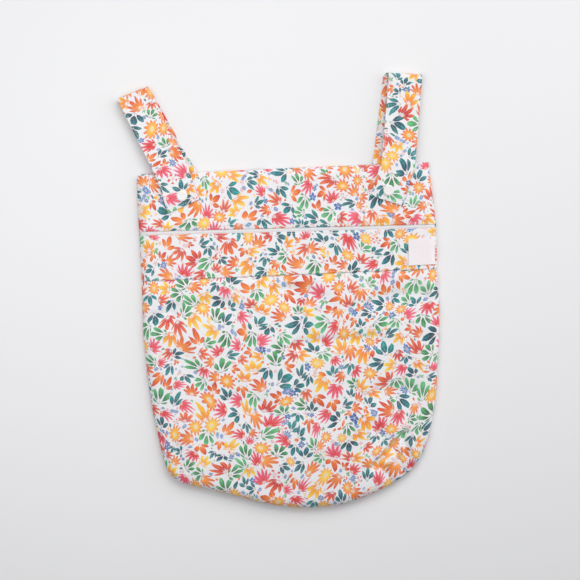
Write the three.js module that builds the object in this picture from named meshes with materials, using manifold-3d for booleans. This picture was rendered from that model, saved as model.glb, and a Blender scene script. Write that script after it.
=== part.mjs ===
// Cloth wet bag: a zipped pouch with a round bottom and two snap straps, lying on its back.
// Millimetres, +Z up, +Y towards the straps, +X to the right as the front is seen.
// While the pieces are made, y is 0 at the lowest point of the round bottom and x is 0 at the
// middle of the pouch. The finished bag is then centred on its own outline, standing on z = 0.

import * as THREE from 'three';
import { mergeVertices } from 'three/addons/utils/BufferGeometryUtils.js';
import Module from 'manifold-3d';

const wasm = await Module();
wasm.setup();

// Pouch outline
const pouchWidth = 344; // at the widest, just under the front band
const pouchLength = 391; // top edge to the lowest point of the bottom
const cornerRise = 39; // bottom corners above the lowest point

// Lying form
const seamHeight = 4.5; // side and top seams above the ground
const bottomLift = 3; // extra seam height where the bottom curls under
const edgeRise = 5; // the front stands this far over its seam
const edgeRound = 11; // width of the rounded edge of the front
const backRound = 9; // width of the turned-up edge of the back
const domeRise = 5.5; // further rise in the middle of the body
const foldRise = 3; // tallest fold or deepest hollow
const foldSpread = 15; // half width of a fold

// Cloth
const clothWall = 1.4;
const layerGap = 0.3; // clearance between pieces that touch

// Zip, with the top panel's flap over it
const topPanelDepth = 69; // top edge to the flap's lower edge
const zipSlope = 6; // the flap's left end is this much higher than its right end
const zipShow = 4.5; // tape that shows under the flap
const flapHem = 2.5; // folded edge of the flap
const flapReach = 16; // from the flap's edge to where it lies flat again
const tapeWall = 0.8;
const tapeUnderFlap = 14;
const tapeUnderBand = 9;
const coilWidth = 4;
const coilHeight = 1.4;
const sliderLength = 10;
const sliderHeight = 2.2;
const sliderInset = 22; // from the left edge to the middle of the slider

// Front band and the body panel sewn under it
const bandDepth = 49.5;
const seamAllowance = 8;

// Label, caught in the right side seam
const labelWidth = 30;
const labelHeight = 30;
const labelWall = 0.8;
const labelUp = 5; // above the band's lower edge

// Straps, each folded over into a loop and snapped to the top panel
const strapWidth = 38.5;
const strapWall = 1.4;
const loopReach = 104; // top edge to the fold
const endReach = 43.5; // top edge to the free end
const loopSpace = 6.5; // clear height inside the loop
const loopLanding = 14; // length over which the lower layer comes up to the top seam

// Snaps
const snapCapRadius = 6.2;
const snapCapHeight = 1.5;
const snapStudRadius = 5;
const snapStack = 2.4; // stud and socket, between strap and panel
const snapNeckRadius = 2.2;
const snapFromEnd = 12;

// Side edges: height as a share of the pouch length, reach as shares of half the width
const sideRows = [
  { rise: 0.1, left: 0.822, right: 0.776 },
  { rise: 0.14, left: 0.862, right: 0.845 },
  { rise: 0.2, left: 0.897, right: 0.902 },
  { rise: 0.27, left: 0.93, right: 0.941 },
  { rise: 0.36, left: 0.957, right: 0.972 },
  { rise: 0.5, left: 0.979, right: 1.0 },
  { rise: 0.58, left: 0.981, right: 1.008 },
  { rise: 0.69, left: 0.977, right: 1.004 },
  { rise: 0.8, left: 0.98, right: 1.009 },
  { rise: 0.9, left: 0.983, right: 0.995 },
  { rise: 1.0, left: 0.98, right: 0.977 },
];

// Bottom edge: place across as a share of its width, drop as a share of the corner rise
const bottomRows = [
  { across: 0.0, drop: 0.0 },
  { across: 0.1, drop: 0.23 },
  { across: 0.18, drop: 0.42 },
  { across: 0.3, drop: 0.66 },
  { across: 0.41, drop: 0.88 },
  { across: 0.52, drop: 0.985 },
  { across: 0.6, drop: 1.0 },
  { across: 0.7, drop: 0.94 },
  { across: 0.78, drop: 0.79 },
  { across: 0.85, drop: 0.61 },
  { across: 0.91, drop: 0.42 },
  { across: 0.96, drop: 0.21 },
  { across: 1.0, drop: 0.0 },
];

// Fullness of the front along the pouch, as shares of the dome rise
const domeRows = [
  { rise: 0.0, fill: 0.55 },
  { rise: 0.12, fill: 0.95 },
  { rise: 0.3, fill: 1.0 },
  { rise: 0.55, fill: 0.8 },
  { rise: 0.68, fill: 0.4 },
  { rise: 0.82, fill: 0.2 },
  { rise: 1.0, fill: 0.05 },
];

// Folds of the body: both ends across and up the pouch, then spread and height as shares.
// A negative height is a hollow.
const foldRows = [
  { x1: -0.76, y1: 0.611, x2: -0.43, y2: 0.605, spread: 0.9, height: -0.6 },
  { x1: -0.3, y1: 0.622, x2: -0.2, y2: 0.615, spread: 1.1, height: 0.5 },
  { x1: -0.05, y1: 0.64, x2: 0.14, y2: 0.636, spread: 0.9, height: -0.75 },
  { x1: 0.34, y1: 0.62, x2: 0.48, y2: 0.615, spread: 1.1, height: 0.45 },
  { x1: 0.61, y1: 0.6, x2: 0.9, y2: 0.595, spread: 0.9, height: -0.6 },
  { x1: 0.08, y1: 0.6, x2: 0.09, y2: 0.51, spread: 0.7, height: -0.6 },
  { x1: 0.09, y1: 0.51, x2: -0.01, y2: 0.4, spread: 0.8, height: -0.6 },
  { x1: 0.2, y1: 0.476, x2: 0.6, y2: 0.468, spread: 0.9, height: -0.5 },
  { x1: 0.585, y1: 0.336, x2: 0.78, y2: 0.274, spread: 1.0, height: -0.8 },
  { x1: 0.17, y1: 0.167, x2: 0.475, y2: 0.235, spread: 0.9, height: 0.7 },
  { x1: 0.67, y1: 0.187, x2: 0.8, y2: 0.11, spread: 0.8, height: -1.0 },
  { x1: 0.57, y1: 0.16, x2: 0.68, y2: 0.09, spread: 0.8, height: 0.6 },
  { x1: -0.74, y1: 0.23, x2: -0.64, y2: 0.13, spread: 1.0, height: 0.5 },
  { x1: -0.7, y1: 0.46, x2: -0.62, y2: 0.3, spread: 1.2, height: -0.35 },
  { x1: -0.35, y1: 0.1, x2: -0.1, y2: 0.08, spread: 1.0, height: -0.4 },
];

// Where each strap is sewn in and where it crosses the top edge again, as shares of half the
// width, and how far it leans to the left over the loop and over the panel, in degrees
const strapRows = [
  { name: 'left', rootAcross: -0.756, crossAcross: -0.738, loopLean: 24.2, endLean: 16.8 },
  { name: 'right', rootAcross: 0.734, crossAcross: 0.773, loopLean: -5.4, endLean: -18.2 },
];

// Upper layer of a strap from its free end to its fold. Reach is a share of the end reach
// below zero and of the loop reach above it, lift is a share of the snap's stack, and drop is
// the share of the way down from the panel's level to the loop's level.
const upperRows = [
  { reach: -1.0, lift: 0.2, drop: 0.0 },
  { reach: -0.92, lift: 0.6, drop: 0.0 },
  { reach: -0.86, lift: 1.0, drop: 0.0 },
  { reach: -0.72, lift: 1.0, drop: 0.0 },
  { reach: -0.58, lift: 1.0, drop: 0.0 },
  { reach: -0.46, lift: 0.8, drop: 0.0 },
  { reach: -0.32, lift: 0.5, drop: 0.0 },
  { reach: -0.16, lift: 0.35, drop: 0.0 },
  { reach: 0.0, lift: 0.3, drop: 0.0 },
  { reach: 0.08, lift: 0.3, drop: 0.12 },
  { reach: 0.18, lift: 0.3, drop: 0.35 },
  { reach: 0.32, lift: 0.4, drop: 0.7 },
  { reach: 0.5, lift: 0.6, drop: 0.95 },
  { reach: 0.7, lift: 0.6, drop: 1.0 },
  { reach: 0.86, lift: 0.5, drop: 1.0 },
];

// Lower layer of a strap from its fold back to the landing before the top seam
const lowerReaches = [0.9, 0.7, 0.5, 0.3];
const landingSteps = [1.0, 0.75, 0.5, 0.25, 0.0];
const foldSteps = 8;

// Mesh density
const edgeTurns = [0, 22.5, 45, 67.5, 90]; // degrees round a rounded edge
const bodyColumns = 20;
const backColumns = 10;
const bodyRows = 20;
const strapColumns = 3;
const roundSides = 16;

// Small tools
const radians = THREE.MathUtils.degToRad;
const { lerp, clamp, smoothstep } = THREE.MathUtils;

// A smooth curve through the rows of a table, flat beyond its ends
function readTable(rows, key, column, at) {
  const last = rows.length - 1;
  const place = clamp(at, rows[0][key], rows[last][key]);
  let i = 0;
  while (i < last - 1 && rows[i + 1][key] < place) i += 1;
  const slope = (k) => {
    const before = rows[Math.max(k - 1, 0)];
    const after = rows[Math.min(k + 1, last)];
    return (after[column] - before[column]) / (after[key] - before[key]);
  };
  const span = rows[i + 1][key] - rows[i][key];
  const t = (place - rows[i][key]) / span;
  const t2 = t * t;
  const t3 = t2 * t;
  return (2 * t3 - 3 * t2 + 1) * rows[i][column] + (t3 - 2 * t2 + t) * span * slope(i)
    + (3 * t2 - 2 * t3) * rows[i + 1][column] + (t3 - t2) * span * slope(i + 1);
}

// Outline of a layer that lies a depth inside the outer face
const halfWidth = pouchWidth / 2;
const leftEdge = (y, depth) => depth - halfWidth * readTable(sideRows, 'rise', 'left', y / pouchLength);
const rightEdge = (y, depth) => halfWidth * readTable(sideRows, 'rise', 'right', y / pouchLength) - depth;
const shareAcross = (x, y, depth) => (x - leftEdge(y, depth)) / (rightEdge(y, depth) - leftEdge(y, depth));
const bottomDrop = (across) => cornerRise * readTable(bottomRows, 'across', 'drop', across);

function bottomEdge(x, depth) {
  return cornerRise + depth - bottomDrop(shareAcross(x, cornerRise, depth));
}

// Height of the seam that joins front and back all round
function seamAt(y) {
  return seamHeight + bottomLift * (1 - smoothstep(y, 0, 0.35 * pouchLength));
}

// 0 on the seam, 1 where the rounded edge ends
function edgeShare(x, y, depth, round) {
  const quarter = (inward) => Math.sqrt(1 - (1 - clamp(inward / round, 0, 1)) ** 2);
  const side = Math.min(x - leftEdge(y, depth), rightEdge(y, depth) - x);
  const end = Math.min(y - bottomEdge(x, depth), pouchLength - depth - y);
  return quarter(side) * quarter(end);
}

// Height that one fold adds at a point, falling off round its line
function foldAt(row, x, y) {
  const start = new THREE.Vector2(row.x1 * halfWidth, row.y1 * pouchLength);
  const along = new THREE.Vector2(row.x2 * halfWidth, row.y2 * pouchLength).sub(start);
  const point = new THREE.Vector2(x, y).sub(start);
  const t = clamp(point.dot(along) / along.lengthSq(), 0, 1);
  const away = point.addScaledVector(along, -t).length() / (row.spread * foldSpread);
  return foldRise * row.height * Math.exp(-away * away);
}

// Outer face of the front at a depth below its top layer
function frontHeight(x, y, depth) {
  const across = clamp(shareAcross(x, y, 0), 0, 1);
  const dome = domeRise * readTable(domeRows, 'rise', 'fill', y / pouchLength);
  const crown = Math.sqrt(4 * across * (1 - across));
  const folds = foldRows.reduce((sum, row) => sum + foldAt(row, x, y), 0);
  const lift = edgeRise + dome * crown + folds - depth;
  return seamAt(y) + lift * edgeShare(x, y, depth, edgeRound);
}

// Face of the back at a depth above the ground side, turned up to the seam at its edges
function backHeight(x, y, depth) {
  const seam = seamAt(y) - layerGap;
  return seam - (seam - depth) * edgeShare(x, y, depth, backRound);
}

// A closed body between two grids of points, joined round their rims
function shellGeometry(outer, inner) {
  const rows = outer.length;
  const columns = outer[0].length;
  const flat = [...outer.flat(), ...inner.flat()];
  const skin = rows * columns;
  const index = [];
  const quad = (a, b, c, d) => index.push(a, b, c, a, c, d);
  for (let r = 0; r < rows - 1; r += 1) {
    for (let c = 0; c < columns - 1; c += 1) {
      const a = r * columns + c;
      quad(a, a + 1, a + columns + 1, a + columns);
      quad(skin + a, skin + a + columns, skin + a + columns + 1, skin + a + 1);
    }
  }
  const rim = [];
  for (let c = 0; c < columns - 1; c += 1) rim.push(c);
  for (let r = 0; r < rows - 1; r += 1) rim.push(r * columns + columns - 1);
  for (let c = columns - 1; c > 0; c -= 1) rim.push((rows - 1) * columns + c);
  for (let r = rows - 1; r > 0; r -= 1) rim.push(r * columns);
  rim.forEach((a, i) => {
    const b = rim[(i + 1) % rim.length];
    quad(a, skin + a, skin + b, b);
  });
  const geometry = new THREE.BufferGeometry();
  geometry.setAttribute('position', new THREE.Float32BufferAttribute(flat.flat(), 3));
  geometry.setIndex(index);
  return geometry;
}

// Shares from 0 to 1 with close steps over a rounded edge at either end
function edgedShares(length, round, steps, atStart, atEnd) {
  const turns = edgeTurns.map((turn) => (round / length) * (1 - Math.cos(radians(turn))));
  const from = atStart ? turns[turns.length - 1] : 0;
  const to = atEnd ? 1 - turns[turns.length - 1] : 1;
  const shares = atStart ? turns.slice(0, -1) : [];
  for (let i = 0; i <= steps; i += 1) shares.push(lerp(from, to, i / steps));
  if (atEnd) shares.push(...turns.slice(0, -1).reverse().map((turn) => 1 - turn));
  return shares;
}

// A layer of cloth: each row and column gives a place, and each face its depth and height
function clothLayer(columns, rows, placeAt, depths, heightAt) {
  const face = (depthOf) => rows.map((row) => columns.map((across) => {
    const [x, y, depth] = placeAt(across, row, depthOf);
    return [x, y, heightAt(x, y, depth)];
  }));
  return shellGeometry(face(depths.outer), face(depths.inner));
}

// Place on the body, where rows follow the round bottom and turn straight towards the band
function bodyPlace(across, row, depthOf, top) {
  const depth = depthOf(across, lerp(cornerRise, top, row));
  const bottom = cornerRise + depth;
  const sideY = lerp(bottom, Math.min(top, pouchLength - depth), row);
  const straight = (lowerSeamY - cornerRise) / (top - cornerRise);
  const sag = bottomDrop(across) * Math.max(1 - row / straight, 0) ** 2;
  const x = lerp(leftEdge(sideY, depth), rightEdge(sideY, depth), across);
  return [x, sideY - sag, depth];
}

// Place on a piece above the lower seam, between two lines that run from side to side
function upperPlace(across, row, depthOf, lowLine, highLine) {
  const level = lerp(lowLine(across), highLine(across), row);
  const depth = depthOf(across, level);
  const y = Math.min(level, pouchLength - depth);
  return [lerp(leftEdge(y, depth), rightEdge(y, depth), across), y, depth];
}

// Lines across the front
const flapEdgeY = (across) => pouchLength - topPanelDepth + zipSlope * (0.5 - across);
const bandTopY = (across) => flapEdgeY(across) - zipShow;
const lowerSeamY = pouchLength - topPanelDepth - zipShow - bandDepth;
const fullWidth = (steps) => edgedShares(pouchWidth, edgeRound, steps, true, true);
const tapeDepth = clothWall + layerGap;

// Section through the flap: it rests on the tape at its folded edge, humps over the zip
// and comes back to the level of the panel. The hump runs out at the side seams.
const coilBack = flapHem + layerGap;
const humpDepth = clothWall - sliderHeight - layerGap;
const humpEnd = coilBack + coilWidth + layerGap;
const flapSection = [
  { back: 0, outer: -clothWall, inner: clothWall },
  { back: flapHem * 0.9, outer: humpDepth - clothWall, inner: clothWall },
  { back: flapHem, outer: humpDepth - clothWall, inner: humpDepth },
  { back: humpEnd, outer: humpDepth - clothWall, inner: humpDepth },
  { back: flapReach, outer: 0, inner: clothWall },
];

function flapDepth(face, across, y) {
  const back = clamp(y - flapEdgeY(across), 0, flapReach);
  const i = Math.max(flapSection.findIndex((row) => row.back >= back), 1);
  const low = flapSection[i - 1];
  const high = flapSection[i];
  const humped = lerp(low[face], high[face], (back - low.back) / (high.back - low.back));
  const level = flapSection[flapSection.length - 1][face];
  const inward = (Math.min(across, 1 - across) * pouchWidth) / edgeRound;
  return lerp(level, humped, clamp(inward, 0, 1));
}

// Top face of the top panel, carried on level past its rounded edges
function panelTop(x, y) {
  const level = Math.min(y, pouchLength - edgeRound);
  const inX = clamp(x, leftEdge(level, 0) + edgeRound, rightEdge(level, 0) - edgeRound);
  return frontHeight(inX, level, flapDepth('outer', shareAcross(inX, level, 0), level));
}

// Materials
const finish = (color, roughness) => new THREE.MeshStandardMaterial({ color, roughness, metalness: 0 });
const printedCloth = finish(0xf3e6da, 0.7);
const zipCloth = finish(0xe9eaec, 0.8);
const zipPlastic = finish(0xf2f3f4, 0.45);
const snapPlastic = finish(0xf7f7f5, 0.35);
const labelCloth = finish(0xf6f3f1, 0.75);

const bag = new THREE.Group();

function addPiece(name, geometry, material) {
  const plain = geometry.index ? geometry.toNonIndexed() : geometry;
  plain.computeVertexNormals();
  const mesh = new THREE.Mesh(plain, material);
  mesh.name = name;
  bag.add(mesh);
  return mesh;
}

// A closed solid for cutting, and back again
function toSolid(geometry) {
  const bare = geometry.clone();
  bare.deleteAttribute('normal');
  bare.deleteAttribute('uv');
  const merged = mergeVertices(bare, 1e-5);
  return new wasm.Manifold(new wasm.Mesh({
    numProp: 3,
    vertProperties: new Float32Array(merged.attributes.position.array),
    triVerts: new Uint32Array(merged.index.array),
  }));
}

function toGeometry(solid) {
  const mesh = solid.getMesh();
  const geometry = new THREE.BufferGeometry();
  geometry.setAttribute('position', new THREE.BufferAttribute(mesh.vertProperties, 3));
  geometry.setIndex(new THREE.BufferAttribute(mesh.triVerts, 1));
  return geometry;
}

// Upright hole through cloth at a snap
function cutSnapHole(geometry, centre) {
  const height = 4 * (seamHeight + edgeRise + domeRise);
  const pin = new THREE.CylinderGeometry(
    snapNeckRadius + layerGap, snapNeckRadius + layerGap, height, roundSides);
  pin.rotateX(Math.PI / 2);
  pin.translate(centre.x, centre.y, 0);
  return toGeometry(toSolid(geometry).subtract(toSolid(pin)));
}

// Plan of one strap: its points on the top edge, its directions and its snap
function strapPlan(row) {
  const away = (lean) => new THREE.Vector2(-Math.sin(radians(lean)), Math.cos(radians(lean)));
  const cross = new THREE.Vector2(row.crossAcross * halfWidth, pouchLength);
  const root = new THREE.Vector2(row.rootAcross * halfWidth, pouchLength + layerGap);
  const outerRadius = loopSpace / 2 + strapWall;
  const fold = cross.clone().addScaledVector(away(row.loopLean), loopReach - outerRadius);
  const snap = cross.clone().addScaledVector(away(row.endLean), snapFromEnd - endReach);
  return { row, away, cross, root, fold, snap };
}

// One strap as a ribbon. Its inner face looks into the loop, its outer face away from it.
function strapGeometry(plan) {
  const { row, away, cross, root, fold } = plan;
  const inner = [];
  const outer = [];
  const half = strapWidth / 2;
  const shares = Array.from({ length: strapColumns + 1 }, (_, i) => (2 * i) / strapColumns - 1);
  const loopUnder = layerGap + strapWall + loopSpace;

  const addStation = (centre, sideways, innerAt, outerAt) => {
    const points = shares.map((share) => centre.clone().addScaledVector(sideways, share * half));
    inner.push(points.map((p) => innerAt(p)));
    outer.push(points.map((p) => outerAt(p)));
  };
  const sidewaysOf = (direction) => new THREE.Vector2(direction.y, -direction.x);

  upperRows.forEach(({ reach, lift, drop }) => {
    const direction = away(reach < 0 ? row.endLean : row.loopLean);
    const centre = cross.clone().addScaledVector(direction, reach * (reach < 0 ? endReach : loopReach));
    const turn = smoothstep(reach * endReach, -strapWidth / 2, strapWidth / 2);
    const sideways = sidewaysOf(away(lerp(row.endLean, row.loopLean, turn)));
    const under = (p) => lerp(panelTop(p.x, p.y) + 2 * layerGap + lift * snapStack, loopUnder, drop);
    const z = (p) => (drop === 1 ? loopUnder : under(p));
    addStation(centre, sideways, (p) => [p.x, p.y, z(p)], (p) => [p.x, p.y, z(p) + strapWall]);
  });

  const loopWay = away(row.loopLean);
  const middle = layerGap + strapWall + loopSpace / 2;
  const innerRadius = loopSpace / 2;
  const outerRadius = innerRadius + strapWall;
  const onFold = (p, radius, angle) => {
    const out = radius * Math.sin(angle);
    return [p.x + loopWay.x * out, p.y + loopWay.y * out, middle + radius * Math.cos(angle)];
  };
  for (let i = 0; i <= foldSteps; i += 1) {
    const angle = (Math.PI * i) / foldSteps;
    addStation(fold, sidewaysOf(loopWay),
      (p) => onFold(p, innerRadius, angle), (p) => onFold(p, outerRadius, angle));
  }

  const back = fold.clone().sub(root);
  const landing = loopLanding / back.length();
  const floorRow = (share, rise, square) => {
    const centre = root.clone().addScaledVector(back, share);
    const sideways = sidewaysOf(back.clone().normalize());
    const squared = new THREE.Vector2(1 / sideways.x, 0);
    sideways.lerp(squared, square);
    addStation(centre, sideways,
      (p) => [p.x, p.y, layerGap + rise + strapWall], (p) => [p.x, p.y, layerGap + rise]);
  };
  const rootRise = seamHeight - layerGap - strapWall / 2;
  lowerReaches.forEach((share) => floorRow(share, 0, 0));
  landingSteps.forEach((step) => {
    const near = 1 - step;
    floorRow(landing * step, rootRise * smoothstep(near, 0, 1), near);
  });
  return shellGeometry(outer, inner);
}

// A fastened snap: cap, neck through the strap, stud, neck through the panel, inner cap
function snapGeometry(base) {
  const innerTop = base - clothWall - layerGap;
  const studBottom = base + layerGap;
  const studTop = studBottom + snapStack;
  const capBottom = studTop + 2 * layerGap + strapWall;
  const bevel = snapCapHeight / 3;
  const profile = [
    [0, innerTop - snapCapHeight],
    [snapCapRadius - bevel, innerTop - snapCapHeight],
    [snapCapRadius, innerTop - snapCapHeight + bevel],
    [snapCapRadius, innerTop],
    [snapNeckRadius, innerTop],
    [snapNeckRadius, studBottom],
    [snapStudRadius, studBottom],
    [snapStudRadius, studTop],
    [snapNeckRadius, studTop],
    [snapNeckRadius, capBottom],
    [snapCapRadius, capBottom],
    [snapCapRadius, capBottom + snapCapHeight - 2 * bevel],
    [snapCapRadius - bevel, capBottom + snapCapHeight - bevel / 2],
    [snapCapRadius / 2, capBottom + snapCapHeight],
    [0, capBottom + snapCapHeight],
  ];
  const lathe = new THREE.LatheGeometry(profile.map(([r, z]) => new THREE.Vector2(r, z)), roundSides);
  return lathe.rotateX(Math.PI / 2);
}

// Back panel, from the ground up to the seam all round
const backDepths = { outer: () => clothWall, inner: () => 0 };
const backPlace = (across, row, depthOf) => bodyPlace(across, row, depthOf, pouchLength);
addPiece('back_panel', clothLayer(
  edgedShares(pouchWidth, backRound, backColumns, true, true),
  edgedShares(pouchLength - cornerRise, backRound, bodyRows - 4, true, true),
  backPlace, backDepths, backHeight), printedCloth);

// Body of the front, domed and folded, its upper edge tucked under the band
const tuckedTop = lowerSeamY + seamAllowance;
const tuck = (y) => tapeDepth * smoothstep(y, lowerSeamY - seamAllowance, lowerSeamY - layerGap);
const bodyDepths = { outer: (across, y) => tuck(y), inner: (across, y) => tuck(y) + clothWall };
const bodyShare = (y) => (y - cornerRise) / (tuckedTop - cornerRise);
const openLength = lowerSeamY - seamAllowance - cornerRise;
const bodyShares = [
  ...edgedShares(openLength, edgeRound, bodyRows, true, false)
    .map((share) => share * bodyShare(lowerSeamY - seamAllowance)),
  bodyShare(lowerSeamY - seamAllowance / 2),
  bodyShare(lowerSeamY - layerGap),
  1,
];
addPiece('front_panel', clothLayer(
  fullWidth(bodyColumns), bodyShares,
  (across, row, depthOf) => bodyPlace(across, row, depthOf, tuckedTop),
  bodyDepths, frontHeight), printedCloth);

// Front band between the zip and the body
const flatDepths = { outer: () => 0, inner: () => clothWall };
addPiece('front_band', clothLayer(
  fullWidth(bodyColumns),
  edgedShares(bandDepth, edgeRound, 4, false, false),
  (across, row, depthOf) => upperPlace(across, row, depthOf, () => lowerSeamY, bandTopY),
  flatDepths, frontHeight), printedCloth);

// Zip tape under the band and the flap
const tapeDepths = { outer: () => tapeDepth, inner: () => tapeDepth + tapeWall };
addPiece('zip_tape', clothLayer(
  fullWidth(bodyColumns),
  edgedShares(pouchLength, edgeRound, 3, false, false),
  (across, row, depthOf) => upperPlace(across, row, depthOf,
    (share) => bandTopY(share) - tapeUnderBand, (share) => flapEdgeY(share) + tapeUnderFlap),
  tapeDepths, frontHeight), zipCloth);

// Zip coil on the tape, under the flap, from the slider to the right side
const sliderFrom = (sliderInset - sliderLength / 2) / pouchWidth;
const sliderTo = (sliderInset + sliderLength / 2) / pouchWidth;
const sliderGap = layerGap / pouchWidth;
const coilPlace = (across, row, depthOf) => upperPlace(across, row, depthOf,
  (share) => flapEdgeY(share) + coilBack, (share) => flapEdgeY(share) + coilBack + coilWidth);
const coilEnd = 1 - edgeRound / pouchWidth;
const coilColumns = [sliderTo + sliderGap,
  ...fullWidth(bodyColumns).filter((share) => share > sliderTo + 2 * sliderGap && share <= coilEnd)];
const coilCrown = (across, y) => {
  const share = (y - flapEdgeY(across) - coilBack) / coilWidth;
  return clothWall - coilHeight * (0.55 + 0.45 * Math.sin(Math.PI * clamp(share, 0, 1)));
};
addPiece('zip_coil', clothLayer(
  coilColumns, [0, 0.2, 0.5, 0.8, 1], coilPlace,
  { outer: coilCrown, inner: () => clothWall }, frontHeight), zipPlastic);

// Zip slider, a plain piece hidden under the flap at the closed end
const sliderDepths = { outer: () => clothWall - sliderHeight, inner: () => clothWall };
addPiece('zip_slider', clothLayer(
  [sliderFrom, (sliderFrom + sliderTo) / 2, sliderTo], [0, 0.5, 1], coilPlace,
  sliderDepths, frontHeight), zipPlastic);

// Top panel with its flap, and a hole at each snap
const plans = strapRows.map(strapPlan);
const panelRows = [...flapSection.slice(0, -1).map((row) => row.back),
  ...edgedShares(topPanelDepth - flapReach, edgeRound, 4, false, true)
    .map((share) => lerp(flapReach, topPanelDepth, share))];
const panelLine = (back) => (across) => {
  const beyond = Math.max(back - flapReach, 0) / (topPanelDepth - flapReach);
  return lerp(flapEdgeY(across) + Math.min(back, flapReach), pouchLength, beyond);
};
const panelDepths = {
  outer: (across, y) => flapDepth('outer', across, y),
  inner: (across, y) => flapDepth('inner', across, y),
};
const panelLayer = clothLayer(
  fullWidth(bodyColumns), panelRows,
  (across, back, depthOf) => upperPlace(across, 0, depthOf, panelLine(back), panelLine(back)),
  panelDepths, frontHeight);
addPiece('top_panel', plans.reduce((panel, plan) => cutSnapHole(panel, plan.snap), panelLayer), printedCloth);

// Label lying on the band, its outer edge in the right side seam
const labelFrom = 1 - labelWidth / pouchWidth;
const labelDepths = { outer: () => -layerGap - labelWall, inner: () => -layerGap };
addPiece('label', clothLayer(
  [labelFrom, ...fullWidth(bodyColumns).filter((share) => share > labelFrom + sliderGap)],
  [0, 0.33, 0.67, 1],
  (across, row, depthOf) => upperPlace(across, row, depthOf,
    () => lowerSeamY + labelUp, () => lowerSeamY + labelUp + labelHeight),
  labelDepths, frontHeight), labelCloth);

// Straps and their snaps
plans.forEach((plan) => {
  const { name } = plan.row;
  addPiece(`strap_${name}`, cutSnapHole(strapGeometry(plan), plan.snap), printedCloth);
  const snap = addPiece(`snap_${name}`, snapGeometry(panelTop(plan.snap.x, plan.snap.y)), snapPlastic);
  snap.position.set(plan.snap.x, plan.snap.y, 0);
});

// Centre the bag on its own outline
const bounds = new THREE.Box3().setFromObject(bag);
const centre = bounds.getCenter(new THREE.Vector3());
bag.position.set(-centre.x, -centre.y, -bounds.min.z);

const part = new THREE.Group();
part.add(bag);

export default part;
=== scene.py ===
# %% [markdown]
# A cloth wet bag, flat on its back
#
# The bag is a zipped pouch of printed, laminated knit with two snap straps. It lies on its back
# on a pale surface and is seen from straight above. Everything solid was settled in the frame,
# so this lesson only makes the looks: cloth with folds and hems, thread, snaps, and a print.

import math
from functools import partial

import bmesh
import bpy
import numpy as np
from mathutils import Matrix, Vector


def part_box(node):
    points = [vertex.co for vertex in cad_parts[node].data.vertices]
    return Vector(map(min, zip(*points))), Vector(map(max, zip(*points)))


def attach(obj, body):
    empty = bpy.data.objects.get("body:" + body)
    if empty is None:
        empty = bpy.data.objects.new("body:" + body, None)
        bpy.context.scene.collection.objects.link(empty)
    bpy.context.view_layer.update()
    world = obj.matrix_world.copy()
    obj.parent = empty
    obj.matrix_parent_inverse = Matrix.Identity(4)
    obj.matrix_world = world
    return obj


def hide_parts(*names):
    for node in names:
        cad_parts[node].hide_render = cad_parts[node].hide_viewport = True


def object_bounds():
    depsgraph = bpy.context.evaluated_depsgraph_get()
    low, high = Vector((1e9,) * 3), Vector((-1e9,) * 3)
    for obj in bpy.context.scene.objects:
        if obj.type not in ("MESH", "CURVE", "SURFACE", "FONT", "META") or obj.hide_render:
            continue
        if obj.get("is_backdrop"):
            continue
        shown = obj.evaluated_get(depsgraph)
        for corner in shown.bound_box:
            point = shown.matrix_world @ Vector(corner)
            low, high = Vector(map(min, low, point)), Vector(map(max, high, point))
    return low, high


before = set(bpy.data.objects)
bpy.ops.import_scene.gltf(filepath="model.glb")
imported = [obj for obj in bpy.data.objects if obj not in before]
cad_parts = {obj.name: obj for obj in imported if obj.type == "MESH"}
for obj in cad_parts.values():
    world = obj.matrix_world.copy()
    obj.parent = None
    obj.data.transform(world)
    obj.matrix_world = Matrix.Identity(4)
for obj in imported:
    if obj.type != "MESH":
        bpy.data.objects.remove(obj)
cad_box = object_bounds()

MM = 0.001
for node in sorted(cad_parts):
    low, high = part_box(node)
    print(f"{node:12s}", [round((b - a) / MM, 1) for a, b in zip(low, high)], "mm")

# %% [markdown]
# The outline comes first. A table reads better than a long list of points: each row says how
# far up the pouch it is and how far the edge stands out there, as shares of the pouch's own
# length and half width. A smooth curve through the rows gives the edge everywhere.

# %% Outline tables
def table(columns, *rows):
    """Rows of values, each as a dict with the names of the columns."""
    return [dict(zip(columns.split(), row)) for row in rows]


SIDE_ROWS = table(
    "rise left right",
    (0.10, 0.810, 0.776),
    (0.115, 0.843, 0.804),
    (0.14, 0.869, 0.845),
    (0.17, 0.887, 0.877),
    (0.20, 0.900, 0.902),
    (0.27, 0.930, 0.941),
    (0.36, 0.957, 0.972),
    (0.50, 0.979, 1.000),
    (0.58, 0.981, 1.008),
    (0.69, 0.977, 1.004),
    (0.80, 0.980, 1.009),
    (0.90, 0.983, 0.995),
    (1.00, 0.980, 0.977),
)
BOTTOM_ROWS = table(
    "across drop",
    (0.00, 0.000),
    (0.03, 0.130),
    (0.10, 0.262),
    (0.18, 0.420),
    (0.30, 0.660),
    (0.41, 0.880),
    (0.52, 0.985),
    (0.60, 1.000),
    (0.70, 0.940),
    (0.78, 0.790),
    (0.85, 0.610),
    (0.91, 0.420),
    (0.96, 0.210),
    (1.00, 0.000),
)
DOME_ROWS = table(
    "rise fill",
    (0.00, 0.55),
    (0.12, 0.95),
    (0.30, 1.00),
    (0.55, 0.80),
    (0.68, 0.40),
    (0.82, 0.20),
    (1.00, 0.05),
)


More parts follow.
